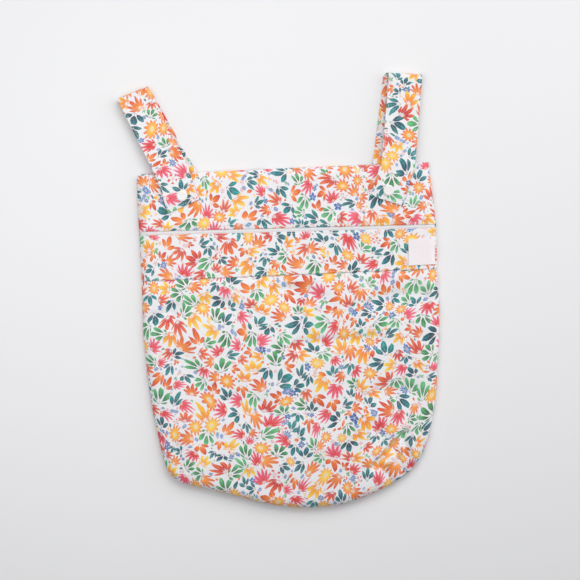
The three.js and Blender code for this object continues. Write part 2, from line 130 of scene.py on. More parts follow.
def curve(rows, key, column, at):
    """A smooth curve through the rows of a table, flat beyond its ends."""
    keys = np.array([row[key] for row in rows])
    values = np.array([row[column] for row in rows])
    before = np.maximum(np.arange(len(rows)) - 1, 0)
    after = np.minimum(np.arange(len(rows)) + 1, len(rows) - 1)
    slopes = (values[after] - values[before]) / (keys[after] - keys[before])
    at = np.clip(at, keys[0], keys[-1])
    i = np.clip(np.searchsorted(keys, at) - 1, 0, len(rows) - 2)
    span = keys[i + 1] - keys[i]
    t = (at - keys[i]) / span
    start = (1 + 2 * t) * (1 - t) ** 2 * values[i] + t * (1 - t) ** 2 * span * slopes[i]
    end = t * t * (3 - 2 * t) * values[i + 1] + t * t * (t - 1) * span * slopes[i + 1]
    return start + end


# %% [markdown]
# The pouch's place and size are read from the frame, so that cloth and frame can't drift
# apart. All shaping below uses pouch coordinates: x from the middle line, y up from the lowest
# point of the round bottom, in metres.

# %% Pouch coordinates
back_low, back_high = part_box("back_panel")
rises = np.linspace(0, 1, 401)
widest_left = curve(SIDE_ROWS, "rise", "left", rises).max()
widest_right = curve(SIDE_ROWS, "rise", "right", rises).max()
HALF_WIDTH = (back_high.x - back_low.x) / (widest_left + widest_right)
LENGTH = back_high.y - back_low.y
MIDDLE_X = back_low.x + HALF_WIDTH * widest_left
LOWEST_Y = back_low.y
SEAM_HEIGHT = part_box("front_panel")[0].z

CORNER_RISE = 39 * MM
BOTTOM_LIFT = 3 * MM
EDGE_RISE = 5 * MM
EDGE_ROUND = 11 * MM
BACK_ROUND = 9 * MM
DOME_RISE = 5.5 * MM
print("pouch", round(2 * HALF_WIDTH / MM, 1), "by", round(LENGTH / MM, 1), "mm")


def smooth(at, low, high):
    t = np.clip((at - low) / (high - low), 0, 1)
    return t * t * (3 - 2 * t)


def left_edge(y, depth):
    return depth - HALF_WIDTH * curve(SIDE_ROWS, "rise", "left", y / LENGTH)


def right_edge(y, depth):
    return HALF_WIDTH * curve(SIDE_ROWS, "rise", "right", y / LENGTH) - depth


def share_across(x, y, depth):
    left = left_edge(y, depth)
    return (x - left) / (right_edge(y, depth) - left)


def bottom_drop(across):
    return CORNER_RISE * curve(BOTTOM_ROWS, "across", "drop", across)


def seam_at(y):
    return SEAM_HEIGHT + BOTTOM_LIFT * (1 - smooth(y, 0, 0.35 * LENGTH))


def edge_share(x, y, depth, round_width):
    """0 on the seam, 1 where the rounded edge of the pouch ends."""
    def quarter(inward):
        return np.sqrt(1 - (1 - np.clip(inward / round_width, 0, 1)) ** 2)
    side = np.minimum(x - left_edge(y, depth), right_edge(y, depth) - x)
    bottom = CORNER_RISE + depth - bottom_drop(share_across(x, CORNER_RISE, depth))
    end = np.minimum(y - bottom, LENGTH - depth - y)
    return quarter(side) * quarter(end)


# %% [markdown]
# Folds. Cloth that lies still keeps a few broad hollows and ridges, and between them short
# puckers where a seam gathers it. The broad ones are rows of a table, each a line with a width
# and a height. A fold is never even: the slope that turns from the light is the short, steep
# one, and that is the one the eye reads. The puckers are waves that run along a seam and die
# away from it.

# %% Folds and puckers
FOLD_RISE = 3 * MM
FOLD_SPREAD = 15 * MM
FOLD_ROWS = table(
    "x1 y1 x2 y2 spread height",
    (-0.78, 0.600, -0.44, 0.612, 0.8, -1.00),
    (-0.92, 0.575, -0.80, 0.585, 0.7, -0.70),
    (-0.30, 0.622, -0.20, 0.615, 1.1, 0.50),
    (-0.05, 0.640, 0.14, 0.636, 0.8, -1.00),
    (0.34, 0.620, 0.48, 0.615, 1.1, 0.45),
    (0.62, 0.606, 0.88, 0.612, 0.9, -1.15),
    (0.04, 0.650, 0.05, 0.560, 0.6, -0.70),
    (0.09, 0.510, -0.01, 0.400, 0.8, -0.60),
    (0.06, 0.482, 0.58, 0.490, 0.6, -0.90),
    (0.585, 0.336, 0.80, 0.330, 0.9, -1.00),
    (0.17, 0.167, 0.475, 0.235, 0.9, 0.60),
    (0.52, 0.235, 0.66, 0.170, 0.6, -0.60),
    (0.48, 0.122, 0.72, 0.222, 0.30, 0.70),
    (0.52, 0.112, 0.75, 0.210, 0.28, -1.05),
    (0.62, 0.120, 0.74, 0.165, 0.26, 0.65),
    (0.72, 0.205, 0.77, 0.105, 0.30, -0.95),
    (0.68, 0.150, 0.72, 0.085, 0.28, -0.90),
    (0.78, 0.180, 0.82, 0.120, 0.30, 0.55),
    (0.57, 0.110, 0.64, 0.070, 0.35, -0.70),
    (-0.74, 0.230, -0.64, 0.130, 1.0, 0.50),
    (-0.40, 0.330, -0.22, 0.310, 0.9, -0.55),
    (-0.70, 0.460, -0.62, 0.380, 0.9, -0.50),
    (-0.35, 0.100, -0.10, 0.080, 1.0, -0.50),
    (0.05, 0.330, 0.12, 0.300, 0.8, -0.45),
    (-0.30, 0.830, 0.02, 0.845, 0.7, -0.35),
    (0.52, 0.905, 0.60, 0.965, 0.6, -0.45),
)
WAVE_ROWS = table(
    "length start share",
    (9 * MM, 0.4, 0.45),
    (14 * MM, 2.1, 0.80),
    (23 * MM, 4.4, 1.00),
    (41 * MM, 1.3, 0.90),
)


def fold_height(x, y):
    total = np.zeros_like(x)
    for row in FOLD_ROWS:
        start = np.array([row["x1"] * HALF_WIDTH, row["y1"] * LENGTH])
        along = np.array([row["x2"] * HALF_WIDTH, row["y2"] * LENGTH]) - start
        t = ((x - start[0]) * along[0] + (y - start[1]) * along[1]) / (along @ along)
        t = np.clip(t, 0, 1)
        up = y - start[1] - t * along[1]
        steep = smooth(up * -np.sign(row["height"]), -6 * MM, 6 * MM)
        away = np.hypot(x - start[0] - t * along[0], up) / (row["spread"] * FOLD_SPREAD)
        away = away * (0.75 + 0.75 * steep)
        total = total + FOLD_RISE * row["height"] * np.exp(-away * away)
    return total


def waves(along, seed):
    """Uneven waves along a seam, between about -1 and 1."""
    total = np.zeros_like(along)
    for i, row in enumerate(WAVE_ROWS):
        turn = 2 * math.pi * along / row["length"] + row["start"] + seed * (i + 1.7)
        total = total + row["share"] * np.sin(turn)
    return total / 2.2


def seam_waves(along, seed, away, fade, height):
    """Waves along a seam that fade with the distance away from it."""
    return waves(along, seed) * np.exp(-away / fade) * height


def front_height(x, y, depth):
    """Outer face of the front, at a depth below its top layer of cloth."""
    across = np.clip(share_across(x, y, 0), 0, 1)
    dome = DOME_RISE * curve(DOME_ROWS, "rise", "fill", y / LENGTH)
    crown = np.sqrt(4 * across * (1 - across))
    lift = EDGE_RISE + dome * crown + fold_height(x, y) - depth
    return seam_at(y) + lift * edge_share(x, y, depth, EDGE_ROUND)


# %% [markdown]
# A cloth piece starts as a flat grid, as it would be cut, and is then laid into its form. The
# grid's UV map keeps the flat shape, measured along the cloth in metres, so that a print drawn
# on that map lies on the cloth as a real print does and isn't stretched at the rounded edges.

# %% Cutting and laying cloth
def deselect():
    if bpy.context.mode != "OBJECT":
        bpy.ops.object.mode_set(mode="OBJECT")
    bpy.ops.object.select_all(action="DESELECT")


def crowd_ends(share, amount):
    """Even steps from 0 to 1, closer together at both ends."""
    return share - amount * np.sin(2 * math.pi * share) / (2 * math.pi)


def select_only(piece):
    deselect()
    piece.select_set(True)
    bpy.context.view_layer.objects.active = piece


def points_of(piece):
    flat = np.empty(len(piece.data.vertices) * 3)
    piece.data.vertices.foreach_get("co", flat)
    return flat.reshape(-1, 3)


def move_points(piece, points):
    piece.data.vertices.foreach_set("co", np.stack(points, axis=1).ravel())
    piece.data.update()


def cut_grid(name, columns, rows):
    """A flat grid with its columns' and rows' shares, each from 0 to 1."""
    deselect()
    bpy.ops.mesh.primitive_grid_add(x_subdivisions=columns, y_subdivisions=rows, size=2)
    piece = bpy.context.object
    piece.name = name
    piece.data.uv_layers[0].name = "cloth"
    share = points_of(piece) / 2 + 0.5
    return piece, share[:, 0], share[:, 1]


def lay(piece, columns, rows, points):
    """Moves the grid's vertices to points and measures the cloth along its rows and columns."""
    move_points(piece, points)
    grid = np.stack(points, axis=1).reshape(rows + 1, columns + 1, 3)
    step_x = np.linalg.norm(np.diff(grid, axis=1), axis=2)
    step_y = np.linalg.norm(np.diff(grid, axis=0), axis=2)
    flat_x = np.pad(np.cumsum(step_x, axis=1), ((0, 0), (1, 0)))
    flat_x = flat_x - flat_x[:, columns // 2, None]
    middle = np.pad(np.cumsum(step_y[:, columns // 2]), (1, 0))
    flat_y = np.pad(np.cumsum(step_y, axis=0), ((1, 0), (0, 0)))
    flat_y = flat_y - flat_y[rows // 2] + middle[rows // 2]
    uv = np.stack([flat_x.ravel(), flat_y.ravel()], axis=1)
    corners = np.empty(len(piece.data.loops), dtype=np.int32)
    piece.data.loops.foreach_get("vertex_index", corners)
    piece.data.uv_layers["cloth"].data.foreach_set("uv", uv[corners].ravel())
    return grid


def to_world(x, y, z):
    return x + MIDDLE_X, y + LOWEST_Y, z


def add_modifier(piece, kind, **settings):
    modifier = piece.modifiers.new(kind.title(), kind)
    for key, value in settings.items():
        setattr(modifier, key, value)
    select_only(piece)
    bpy.ops.object.modifier_apply(modifier=modifier.name)


def shade_cloth(piece):
    select_only(piece)
    bpy.ops.object.shade_smooth_by_angle(angle=math.radians(50))


def thicken(piece, wall):
    """Gives the cloth its wall, downwards from the laid face."""
    add_modifier(piece, "SOLIDIFY", thickness=wall, offset=-1.0, use_even_offset=False)
    shade_cloth(piece)


def flip(piece):
    select_only(piece)
    bpy.ops.object.mode_set(mode="EDIT")
    bpy.ops.mesh.select_all(action="SELECT")
    bpy.ops.mesh.flip_normals()
    bpy.ops.object.mode_set(mode="OBJECT")


def say(piece):
    size = [round(v / MM, 1) for v in piece.dimensions]
    print(f"{piece.name}: {len(piece.data.polygons)} faces, {size} mm")


def declare(piece, node):
    """Hangs the piece on the root body and hides the frame's part that it stands in for."""
    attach(piece, "root")
    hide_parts(node)


# %% [markdown]
# The body of the front. It is sewn in at the sides and round the bottom, and its upper edge is
# tucked under the band. Rows of the grid follow the round bottom and straighten on the way up,
# as the threads of the cloth do.

# %% Front panel
CLOTH = 0.9 * MM
HEMMED_CLOTH = 0.5 * MM
WIDE_COLUMNS = 172
SIDE_CROWD = 0.55
TUCK = 1.3 * MM
TOP_PANEL_DEPTH = 69 * MM
ZIP_SLOPE = 6 * MM
ZIP_SHOW = 4.5 * MM
BAND_DEPTH = 49.5 * MM
LOWER_SEAM = LENGTH - TOP_PANEL_DEPTH - ZIP_SHOW - BAND_DEPTH
SEAM_ALLOWANCE = 8 * MM


def pucker(x, y):
    """Small gathers of the front along its seams."""
    below_band = seam_waves(x, 0.0, np.maximum(LOWER_SEAM - y, 0), 16 * MM, 0.5)
    side = np.minimum(x - left_edge(y, 0), right_edge(y, 0) - x)
    at_side = seam_waves(y + 0.3 * x, 1.1, np.maximum(side, 0), 12 * MM, 0.4)
    bottom = y - CORNER_RISE + bottom_drop(np.clip(share_across(x, CORNER_RISE, 0), 0, 1))
    at_bottom = seam_waves(x, 2.6, np.maximum(bottom, 0), 14 * MM, 0.6)
    return (below_band + at_side + at_bottom) * MM


def body_place(across, row, top, depth):
    """Pouch coordinates of a point on a piece that reaches down to the round bottom."""
    side_y = CORNER_RISE + depth + row * (np.minimum(top, LENGTH - depth) - CORNER_RISE - depth)
    straight = (LOWER_SEAM - CORNER_RISE) / (top - CORNER_RISE)
    sag = bottom_drop(across) * np.maximum(1 - row / straight, 0) ** 2
    left = left_edge(side_y, depth)
    x = left + across * (right_edge(side_y, depth) - left)
    return x, side_y - sag


columns, rows = WIDE_COLUMNS, 140
front_panel, u, v = cut_grid("cloth_front_panel", columns, rows)
across = crowd_ends(u, SIDE_CROWD)
row = crowd_ends(v, 0.35)
top = LOWER_SEAM + SEAM_ALLOWANCE
side_y = CORNER_RISE + row * (top - CORNER_RISE)
depth = TUCK * smooth(side_y, LOWER_SEAM - SEAM_ALLOWANCE, LOWER_SEAM)
x, y = body_place(across, row, top, depth)
z = front_height(x, y, depth) + pucker(x, y) * edge_share(x, y, depth, EDGE_ROUND)
front_grid = lay(front_panel, columns, rows, to_world(x, y, z))
thicken(front_panel, CLOTH)
declare(front_panel, "front_panel")
say(front_panel)

# %% [markdown]
# The back is one sheet from the bottom to the top edge. It lies on the table and turns up at
# its edges to meet the front at the seam.

# %% Back panel
SEAM_GAP = 0.3 * MM


def back_height(x, y, depth):
    seam = seam_at(y) - SEAM_GAP
    return seam - (seam - depth) * edge_share(x, y, depth, BACK_ROUND)


columns, rows = 120, 130
back_panel, u, v = cut_grid("cloth_back_panel", columns, rows)
across = crowd_ends(u, 0.75)
row = crowd_ends(v, 0.75)
x, y = body_place(across, row, LENGTH, 0 * row)
back_grid = lay(back_panel, columns, rows, to_world(x, y, back_height(x, y, 0 * row)))
flip(back_panel)
thicken(back_panel, CLOTH)
declare(back_panel, "back_panel")
say(back_panel)

# %% [markdown]
# Band and top panel have hems: their edges are folded under, which shows as a soft round lip.
# A hem is a section, a short path seen from the side, that is drawn across the whole width. The
# path starts inside the fold, turns round the lip and runs on over the face of the piece.

# %% Hemmed pieces
HEM_LIP = 0.55 * MM


def flap_edge(across):
    return LENGTH - TOP_PANEL_DEPTH + ZIP_SLOPE * (0.5 - across)


def band_top(across):
    return flap_edge(across) - ZIP_SHOW


def hem_path(length, under, lip_steps=7):
    """Distances from a folded edge and depths, from inside the hem out over the face."""
    inside = [(d, 2 * HEM_LIP) for d in np.linspace(under, HEM_LIP, 4)]
    turns = np.linspace(-90, 90, lip_steps)[1:-1]
    lip = [(HEM_LIP * (1 - math.cos(math.radians(t))), HEM_LIP * (1 - math.sin(math.radians(t))))
           for t in turns]
    face = [(d, 0.0) for d in np.linspace(HEM_LIP, length, max(int(length / (2 * MM)), 6))]
    return np.array(inside + lip + face)


def upper_place(across, y, depth):
    inset = np.maximum(depth, 0)
    y = np.minimum(y, LENGTH - inset)
    left = left_edge(y, inset)
    return left + across * (right_edge(y, inset) - left), y


# %% [markdown]
# The band runs from side to side between the zip and the body. Both its long edges are hems,
# and a small shadow under the lower one is what shows the seam from above.

# %% Front band
BAND_HEM = 7 * MM


def band_ripple(across, x, y):
    """Ripples of the band along both its edges."""
    return (seam_waves(x, 3.3, y - LOWER_SEAM, 11 * MM, 0.35)
            + seam_waves(x, 5.2, band_top(across) - y, 9 * MM, 0.22)) * MM


half_band = BAND_DEPTH / 2 + ZIP_SLOPE
lower = hem_path(half_band, BAND_HEM)
section = np.concatenate([lower, lower[-2::-1]])
columns, rows = WIDE_COLUMNS, len(section) - 1
front_band, u, v = cut_grid("cloth_front_band", columns, rows)
across = crowd_ends(u, SIDE_CROWD)
index = np.rint(v * rows).astype(int)
is_lower = index < len(lower)
from_edge, hem_depth = section[index].T
span = (band_top(across) - LOWER_SEAM) / (2 * half_band)
y = np.where(is_lower, LOWER_SEAM + from_edge * span, band_top(across) - from_edge * span)
near_edge = from_edge < 3 * MM
y = np.where(near_edge & is_lower, LOWER_SEAM + from_edge, y)
y = np.where(near_edge & ~is_lower, band_top(across) - from_edge, y)
x, y = upper_place(across, y, hem_depth)
ripple = band_ripple(across, x, y)
z = front_height(x, y, hem_depth) + ripple * edge_share(x, y, hem_depth, EDGE_ROUND)
band_grid = lay(front_band, columns, rows, to_world(x, y, z))
thicken(front_band, HEMMED_CLOTH)
declare(front_band, "front_band")
say(front_band)

# %% [markdown]
# The top panel ends in a flap that lies over the zip. The flap humps over the coil, comes down
# to the tape and ends in a hem.

# %% Top panel
HUMP_ROWS = table(
    "back lift",
    (0.0, 0.00),
    (2.0, 0.15),
    (4.5, 0.95),
    (7.0, 1.15),
    (11.0, 0.60),
    (16.0, 0.10),
    (20.0, 0.00),
)
FLAP_HEM = 9 * MM
TOP_EDGE_ROWS = 18


def hump_at(back):
    return curve(HUMP_ROWS, "back", "lift", back / MM) * MM


path = hem_path(TOP_PANEL_DEPTH, FLAP_HEM)
body_rows = len(path) - 8
columns, rows = WIDE_COLUMNS, body_rows + TOP_EDGE_ROWS
top_panel, u, v = cut_grid("cloth_top_panel", columns, rows)
across = crowd_ends(u, SIDE_CROWD)
index = np.rint(v * rows).astype(int)
edge_turn = np.clip((index - body_rows) / TOP_EDGE_ROWS, 0, 1)
hem_back, hem_depth = path[np.minimum(index, body_rows)].T
to_top = LENGTH - flap_edge(across)
edge_from = path[body_rows, 0]
round_off = edge_from + (to_top - edge_from) * np.sin(edge_turn * math.pi / 2)
back = np.where(index > body_rows, round_off, hem_back)
inward = np.clip(np.minimum(across, 1 - across) * 2 * HALF_WIDTH / EDGE_ROUND, 0, 1)
hump = hump_at(back) * inward
x, y = upper_place(across, flap_edge(across) + back, hem_depth)
ripple = (seam_waves(x, 6.1, back, 8 * MM, 0.3)
          + seam_waves(x, 7.7, LENGTH - y, 14 * MM, 0.5)) * MM
share = edge_share(x, y, hem_depth, EDGE_ROUND)
z = front_height(x, y, hem_depth) + (hump + ripple) * share
top_grid = lay(top_panel, columns, rows, to_world(x, y, z))
thicken(top_panel, HEMMED_CLOTH)
declare(top_panel, "top_panel")
say(top_panel)


def panel_top(x, y):
    """Top face of the top panel, carried on level past its rounded edges."""
    level = np.minimum(y, LENGTH - EDGE_ROUND)
    inside = np.clip(x, left_edge(level, 0) + EDGE_ROUND, right_edge(level, 0) - EDGE_ROUND)
    across = share_across(inside, level, 0)
    back = np.maximum(level - flap_edge(across), 0)
    return front_height(inside, level, 0 * x) + hump_at(back)


# %% [markdown]
# Straps. Each is cut as a flat ribbon, thickened and given soft edges while it is still flat,
# and only then folded: a point of the ribbon keeps its place across the ribbon and its height in
# the cloth, and travels along the path. The path starts at the snapped end on the top panel,
# crosses the top edge, turns round in the fold and comes back below to the seam.

# %% Strap path
STRAP_WIDTH = 38.5 * MM
HALF_STRAP = STRAP_WIDTH / 2
STRAP_WALL = 1.2 * MM
LOOP_REACH = 104 * MM
SNAP_FROM_END = 12 * MM
LOOP_SPACE = 6.5 * MM
LANDING = 14 * MM
SNAP_STACK = 2.4 * MM
GAP = 0.3 * MM
STRAP_ROWS = [
    dict(name="left", root=-0.706, cross=-0.738, loop_lean=24.2, fold_slant=19.5, slide=0.5 * MM,
         end_reach=41.0 * MM, end_lean=15.3, end_slant=21.0, snap_aside=2.5 * MM),
    dict(name="right", root=0.716, cross=0.773, loop_lean=-7.2, fold_slant=-4.6, slide=-5.9 * MM,
         end_reach=45.4 * MM, end_lean=-19.8, end_slant=-19.6, snap_aside=-1.4 * MM),
]
UPPER_ROWS = table(
    "reach lift drop",
    (-1.00, 0.00, 0.00),
    (-0.90, 0.12, 0.00),
    (-0.80, 0.50, 0.00),
    (-0.62, 0.60, 0.00),
    (-0.46, 0.45, 0.00),
    (-0.30, 0.30, 0.00),
    (-0.12, 0.30, 0.00),
    (0.00, 0.35, 0.00),
    (0.08, 0.30, 0.12),
    (0.18, 0.30, 0.35),
    (0.32, 0.40, 0.70),
    (0.50, 0.60, 0.95),
    (0.70, 0.60, 1.00),
    (1.00, 0.50, 1.00),
)


def away(lean):
    return np.array([-math.sin(math.radians(lean)), math.cos(math.radians(lean))])


def aside(direction):
    return np.array([direction[1], -direction[0]])


class StrapPath:
    def __init__(self, row):
        self.row = row
        self.cross = np.array([row["cross"] * HALF_WIDTH, LENGTH])
        self.root = np.array([row["root"] * HALF_WIDTH, LENGTH + GAP])
        self.inner = LOOP_SPACE / 2
        outer = self.inner + STRAP_WALL
        self.loop_way = away(row["loop_lean"])
        self.fold = self.cross + self.loop_way * (LOOP_REACH - outer)
        self.end_reach = row["end_reach"]
        self.fold_aside = aside(away(row["fold_slant"]))
        self.slide = aside(self.loop_way) * row["slide"]
        self.back = self.fold + self.slide - self.root
        self.upper_length = self.end_reach + LOOP_REACH - outer
        self.turn_length = math.pi * (self.inner + STRAP_WALL / 2)
        self.lower_length = float(np.hypot(*self.back))
        self.length = self.upper_length + self.turn_length + self.lower_length

    def upper(self, along, side, height):
        reach = along - self.end_reach
        row = self.row
        share = np.where(reach < 0, reach / self.end_reach, reach / LOOP_REACH)
        lean = row["end_lean"] + (row["loop_lean"] - row["end_lean"]) * (reach > 0)
        turn = smooth(reach, -HALF_STRAP, HALF_STRAP)
        side_lean = row["end_slant"] + (row["loop_lean"] - row["end_slant"]) * turn
        near_fold = smooth(along, self.upper_length - STRAP_WIDTH, self.upper_length)
        side_lean = side_lean + (row["fold_slant"] - row["loop_lean"]) * near_fold
        x = self.cross[0] - np.sin(np.radians(lean)) * reach + np.cos(np.radians(side_lean)) * side
        y = self.cross[1] + np.cos(np.radians(lean)) * reach + np.sin(np.radians(side_lean)) * side
        lift = curve(UPPER_ROWS, "reach", "lift", share) * SNAP_STACK
        drop = curve(UPPER_ROWS, "reach", "drop", share)
        on_panel = panel_top(x, y) + 2 * GAP + lift
        loop_under = GAP + STRAP_WALL + LOOP_SPACE
        at_edge = (np.abs(side) / HALF_STRAP) ** 3
        curl = at_edge * waves(along, 8.8 + row["cross"]) * 0.7 * MM
        curl = np.where(share > -0.5, curl, 0.3 * np.maximum(curl, 0))
        return x, y, on_panel + (loop_under - on_panel) * drop + curl + height

    def turn(self, along, side, height):
        angle = (along - self.upper_length) / self.turn_length * math.pi
        radius = self.inner + height
        slid = smooth(angle, 0, math.pi)
        x, y = (self.fold[k] + self.slide[k] * slid + self.fold_aside[k] * side
                + self.loop_way[k] * radius * np.sin(angle) for k in (0, 1))
        return x, y, GAP + STRAP_WALL + self.inner + radius * np.cos(angle)

    def lower(self, along, side, height):
        share = 1 - (along - self.upper_length - self.turn_length) / self.lower_length
        share = np.clip(share, 0, 1)
        near = np.clip(1 - share * self.lower_length / LANDING, 0, 1)
        plain = aside(self.back / self.lower_length)
        loop = self.fold_aside
        bend = smooth(share, 0.7, 1.0)
        wide = 1 / plain[0]
        side_x = (plain[0] + (loop[0] - plain[0]) * bend) * (1 - near) + wide * near
        side_y = (plain[1] + (loop[1] - plain[1]) * bend) * (1 - near)
        x = self.root[0] + self.back[0] * share + side_x * side
        y = self.root[1] + self.back[1] * share + side_y * side
        rise = (SEAM_HEIGHT - GAP - STRAP_WALL / 2) * smooth(near, 0, 1)
        return x, y, GAP + rise + STRAP_WALL - height

    def place(self, along, side, height):
        upper = self.upper(np.minimum(along, self.upper_length), side, height)
        turn = self.turn(along, side, height)
        lower = self.lower(along, side, height)
        first = along <= self.upper_length
        second = along <= self.upper_length + self.turn_length
        return tuple(np.where(first, a, np.where(second, b, c))
                     for a, b, c in zip(upper, turn, lower))


strap_paths = {row["name"]: StrapPath(row) for row in STRAP_ROWS}
for name, path in strap_paths.items():
    print("strap", name, "is cut", round(path.length / MM, 1), "mm long")

# %% [markdown]
# A strap is really a tube of cloth pressed flat, so its long edges are folds: soft and round,
# never sharp. A bevel on the flat ribbon gives that before the ribbon is folded.

# %% Straps
STRAP_ROW = 1.6 * MM
STRAP_ROUND = 0.5 * MM


def make_strap(name, path):
    columns, rows = 20, int(path.length / STRAP_ROW)
    piece, u, v = cut_grid(f"cloth_strap_{name}", columns, rows)
    grid = lay(piece, columns, rows, ((u - 0.5) * STRAP_WIDTH, v * path.length, 0 * u))
    add_modifier(piece, "SOLIDIFY", thickness=STRAP_WALL, offset=1.0)
    add_modifier(piece, "BEVEL", width=STRAP_ROUND, segments=3, limit_method="ANGLE",
                 angle_limit=math.radians(60))
    side, along, height = points_of(piece).T
    move_points(piece, to_world(*path.place(along, side, height)))
    shade_cloth(piece)
    declare(piece, f"strap_{name}")
    say(piece)
    return piece


straps = {name: make_strap(name, path) for name, path in strap_paths.items()}

# %% [markdown]
# The tape of the zip is woven and shows as a narrow strip between flap and band, where it
# bulges a little. It is laid like the cloth pieces, with rows close enough for the bulge.

# %% Zip tape
TAPE_WALL = 0.7 * MM
TAPE_BULGE = 0.7 * MM
TAPE_UNDER_BAND = 9 * MM
TAPE_UNDER_FLAP = 14 * MM
columns, rows = WIDE_COLUMNS, 36
zip_tape, u, v = cut_grid("woven_zip_tape", columns, rows)
across = crowd_ends(u, SIDE_CROWD)
low = band_top(across) - TAPE_UNDER_BAND
y = low + v * (flap_edge(across) + TAPE_UNDER_FLAP - low)
bulge = np.sin(math.pi * np.clip((y - band_top(across)) / ZIP_SHOW, 0, 1)) ** 2
tape_depth = TUCK - TAPE_BULGE * bulge
x, y = upper_place(across, y, 0 * u + TUCK)
tape_grid = lay(zip_tape, columns, rows, to_world(x, y, front_height(x, y, tape_depth)))
thicken(zip_tape, TAPE_WALL)
declare(zip_tape, "zip_tape")
say(zip_tape)

# %% [markdown]
# The coil lies on the tape under the flap. It is one loop of nylon, modelled once and copied
# along the tape into a single mesh, so that its teeth stand apart as real ones do and the
# scene stays light.

# %% Zip coil
COIL_LOOP = (1.6 * MM, 3.6 * MM, 1.1 * MM)
COIL_STEP = 1.15 * MM
COIL_BACK = 4.8 * MM
COIL_DEPTH = 1.4 * MM
COIL_RISE = 0.72 * MM


def copies_of(name, model, places, turns):
    """One mesh made of copies of a small model, each moved to its place and turned about Z."""
    base = points_of(model)
    faces = [tuple(face.vertices) for face in model.data.polygons]
    points, polygons = [], []
    for i, (place, turn) in enumerate(zip(places, turns)):
        spin = np.array([[math.cos(turn), -math.sin(turn), 0],
                         [math.sin(turn), math.cos(turn), 0], [0, 0, 1]])
        points.append(base @ spin.T + place)
        polygons += [tuple(k + i * len(base) for k in face) for face in faces]
    mesh = bpy.data.meshes.new(name)
    mesh.from_pydata(np.concatenate(points), [], polygons)
    mesh.polygons.foreach_set("use_smooth", [True] * len(polygons))
    mesh.update()
    piece = bpy.data.objects.new(name, mesh)
    bpy.context.collection.objects.link(piece)
    bpy.data.objects.remove(model, do_unlink=True)
    return piece


deselect()
bpy.ops.mesh.primitive_torus_add(major_segments=10, minor_segments=5,
                                 major_radius=0.5, minor_radius=0.13,
                                 rotation=(0, math.radians(82), 0))
coil_loop = bpy.context.object
bpy.ops.object.transform_apply(rotation=True)
coil_loop.scale = COIL_LOOP
bpy.ops.object.transform_apply(scale=True)
coil_low, coil_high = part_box("zip_coil")
coil_x = np.arange(coil_low.x, coil_high.x, COIL_STEP) - MIDDLE_X
across = share_across(coil_x, LENGTH - TOP_PANEL_DEPTH + 0 * coil_x, 0)
coil_y = flap_edge(across) + COIL_BACK
coil_z = front_height(coil_x, coil_y, 0 * coil_x + COIL_DEPTH) + COIL_RISE
coil_places = np.stack(to_world(coil_x, coil_y, coil_z), axis=1)
zip_coil = copies_of("nylon_zip_coil", coil_loop, coil_places, 0 * coil_x)
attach(zip_coil, "root")
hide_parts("zip_coil")
say(zip_coil)

# %% [markdown]
# A snap cap is a thin shell with a rolled rim and a slightly sunken middle. It starts as a
# cylinder, whose top is inset and pushed about, and bevels round what a mould would round.

# %% Snap caps
SNAP_CAP_RADIUS = 6.2 * MM
SNAP_STUD_RADIUS = 5.0 * MM
SNAP_NECK_RADIUS = 2.2 * MM
CAP_WALL = 1.1 * MM
CAP_SINK = 0.2 * MM
INNER_CAP = (3.2 * MM, 1.7 * MM)
RIM_ROWS = table(
    "inset rise",
    (1.1, 0.28),
    (0.9, 0.10),
    (0.6, -0.16),
    (1.2, -0.10),
)


def add_disc(x, y, radius, bottom, top, vertices=32):
    deselect()
    bpy.ops.mesh.primitive_cylinder_add(vertices=vertices, radius=radius, depth=top - bottom,
                                        location=(x, y, (top + bottom) / 2))
    return bpy.context.object


def make_snap(name, path):
    low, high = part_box(f"snap_{name}")
    along, side = np.array([SNAP_FROM_END]), np.array([path.row["snap_aside"]])
    x, y, strap_top = path.upper(along, side, STRAP_WALL)
    base, strap_top = panel_top(x, y)[0], strap_top[0]
    x, y = x[0] + MIDDLE_X, y[0] + LOWEST_Y
    cap = strap_top - CAP_SINK
    parts = [
        add_disc(x, y, SNAP_NECK_RADIUS, base - 3 * MM, strap_top),
        add_disc(x, y, SNAP_STUD_RADIUS, base + GAP, strap_top - STRAP_WALL - GAP),
        add_disc(x, y, SNAP_CAP_RADIUS, base - INNER_CAP[0], base - INNER_CAP[1]),
    ]
    face = add_disc(x, y, SNAP_CAP_RADIUS, cap, cap + CAP_WALL, vertices=64)
    bpy.ops.object.mode_set(mode="EDIT")
    bpy.ops.mesh.select_mode(type="FACE")
    bpy.ops.mesh.select_all(action="DESELECT")
    edit = bmesh.from_edit_mesh(face.data)
    for polygon in edit.faces:
        polygon.select = polygon.normal.z > 0.9
    bmesh.update_edit_mesh(face.data)
    for row in RIM_ROWS:
        bpy.ops.mesh.inset(thickness=row["inset"] * MM)
        bpy.ops.transform.translate(value=(0, 0, row["rise"] * MM))
    bpy.ops.object.mode_set(mode="OBJECT")
    add_modifier(face, "BEVEL", width=0.35 * MM, segments=3, limit_method="ANGLE",
                 angle_limit=math.radians(40))
    deselect()
    for part in parts + [face]:
        part.select_set(True)
    bpy.context.view_layer.objects.active = face
    bpy.ops.object.join()
    face.name = f"moulded_snap_{name}"
    bpy.ops.object.transform_apply(location=True, rotation=True, scale=True)
    bpy.ops.object.shade_smooth_by_angle(angle=math.radians(40))
    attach(face, "root")
    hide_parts(f"snap_{name}")
    say(face)
    return face


snaps = {name: make_snap(name, path) for name, path in strap_paths.items()}

# %% [markdown]
# The label is a small square of woven ribbon, caught in the side seam on its right. It lies on
# the band and follows the rounded edge down to the seam.

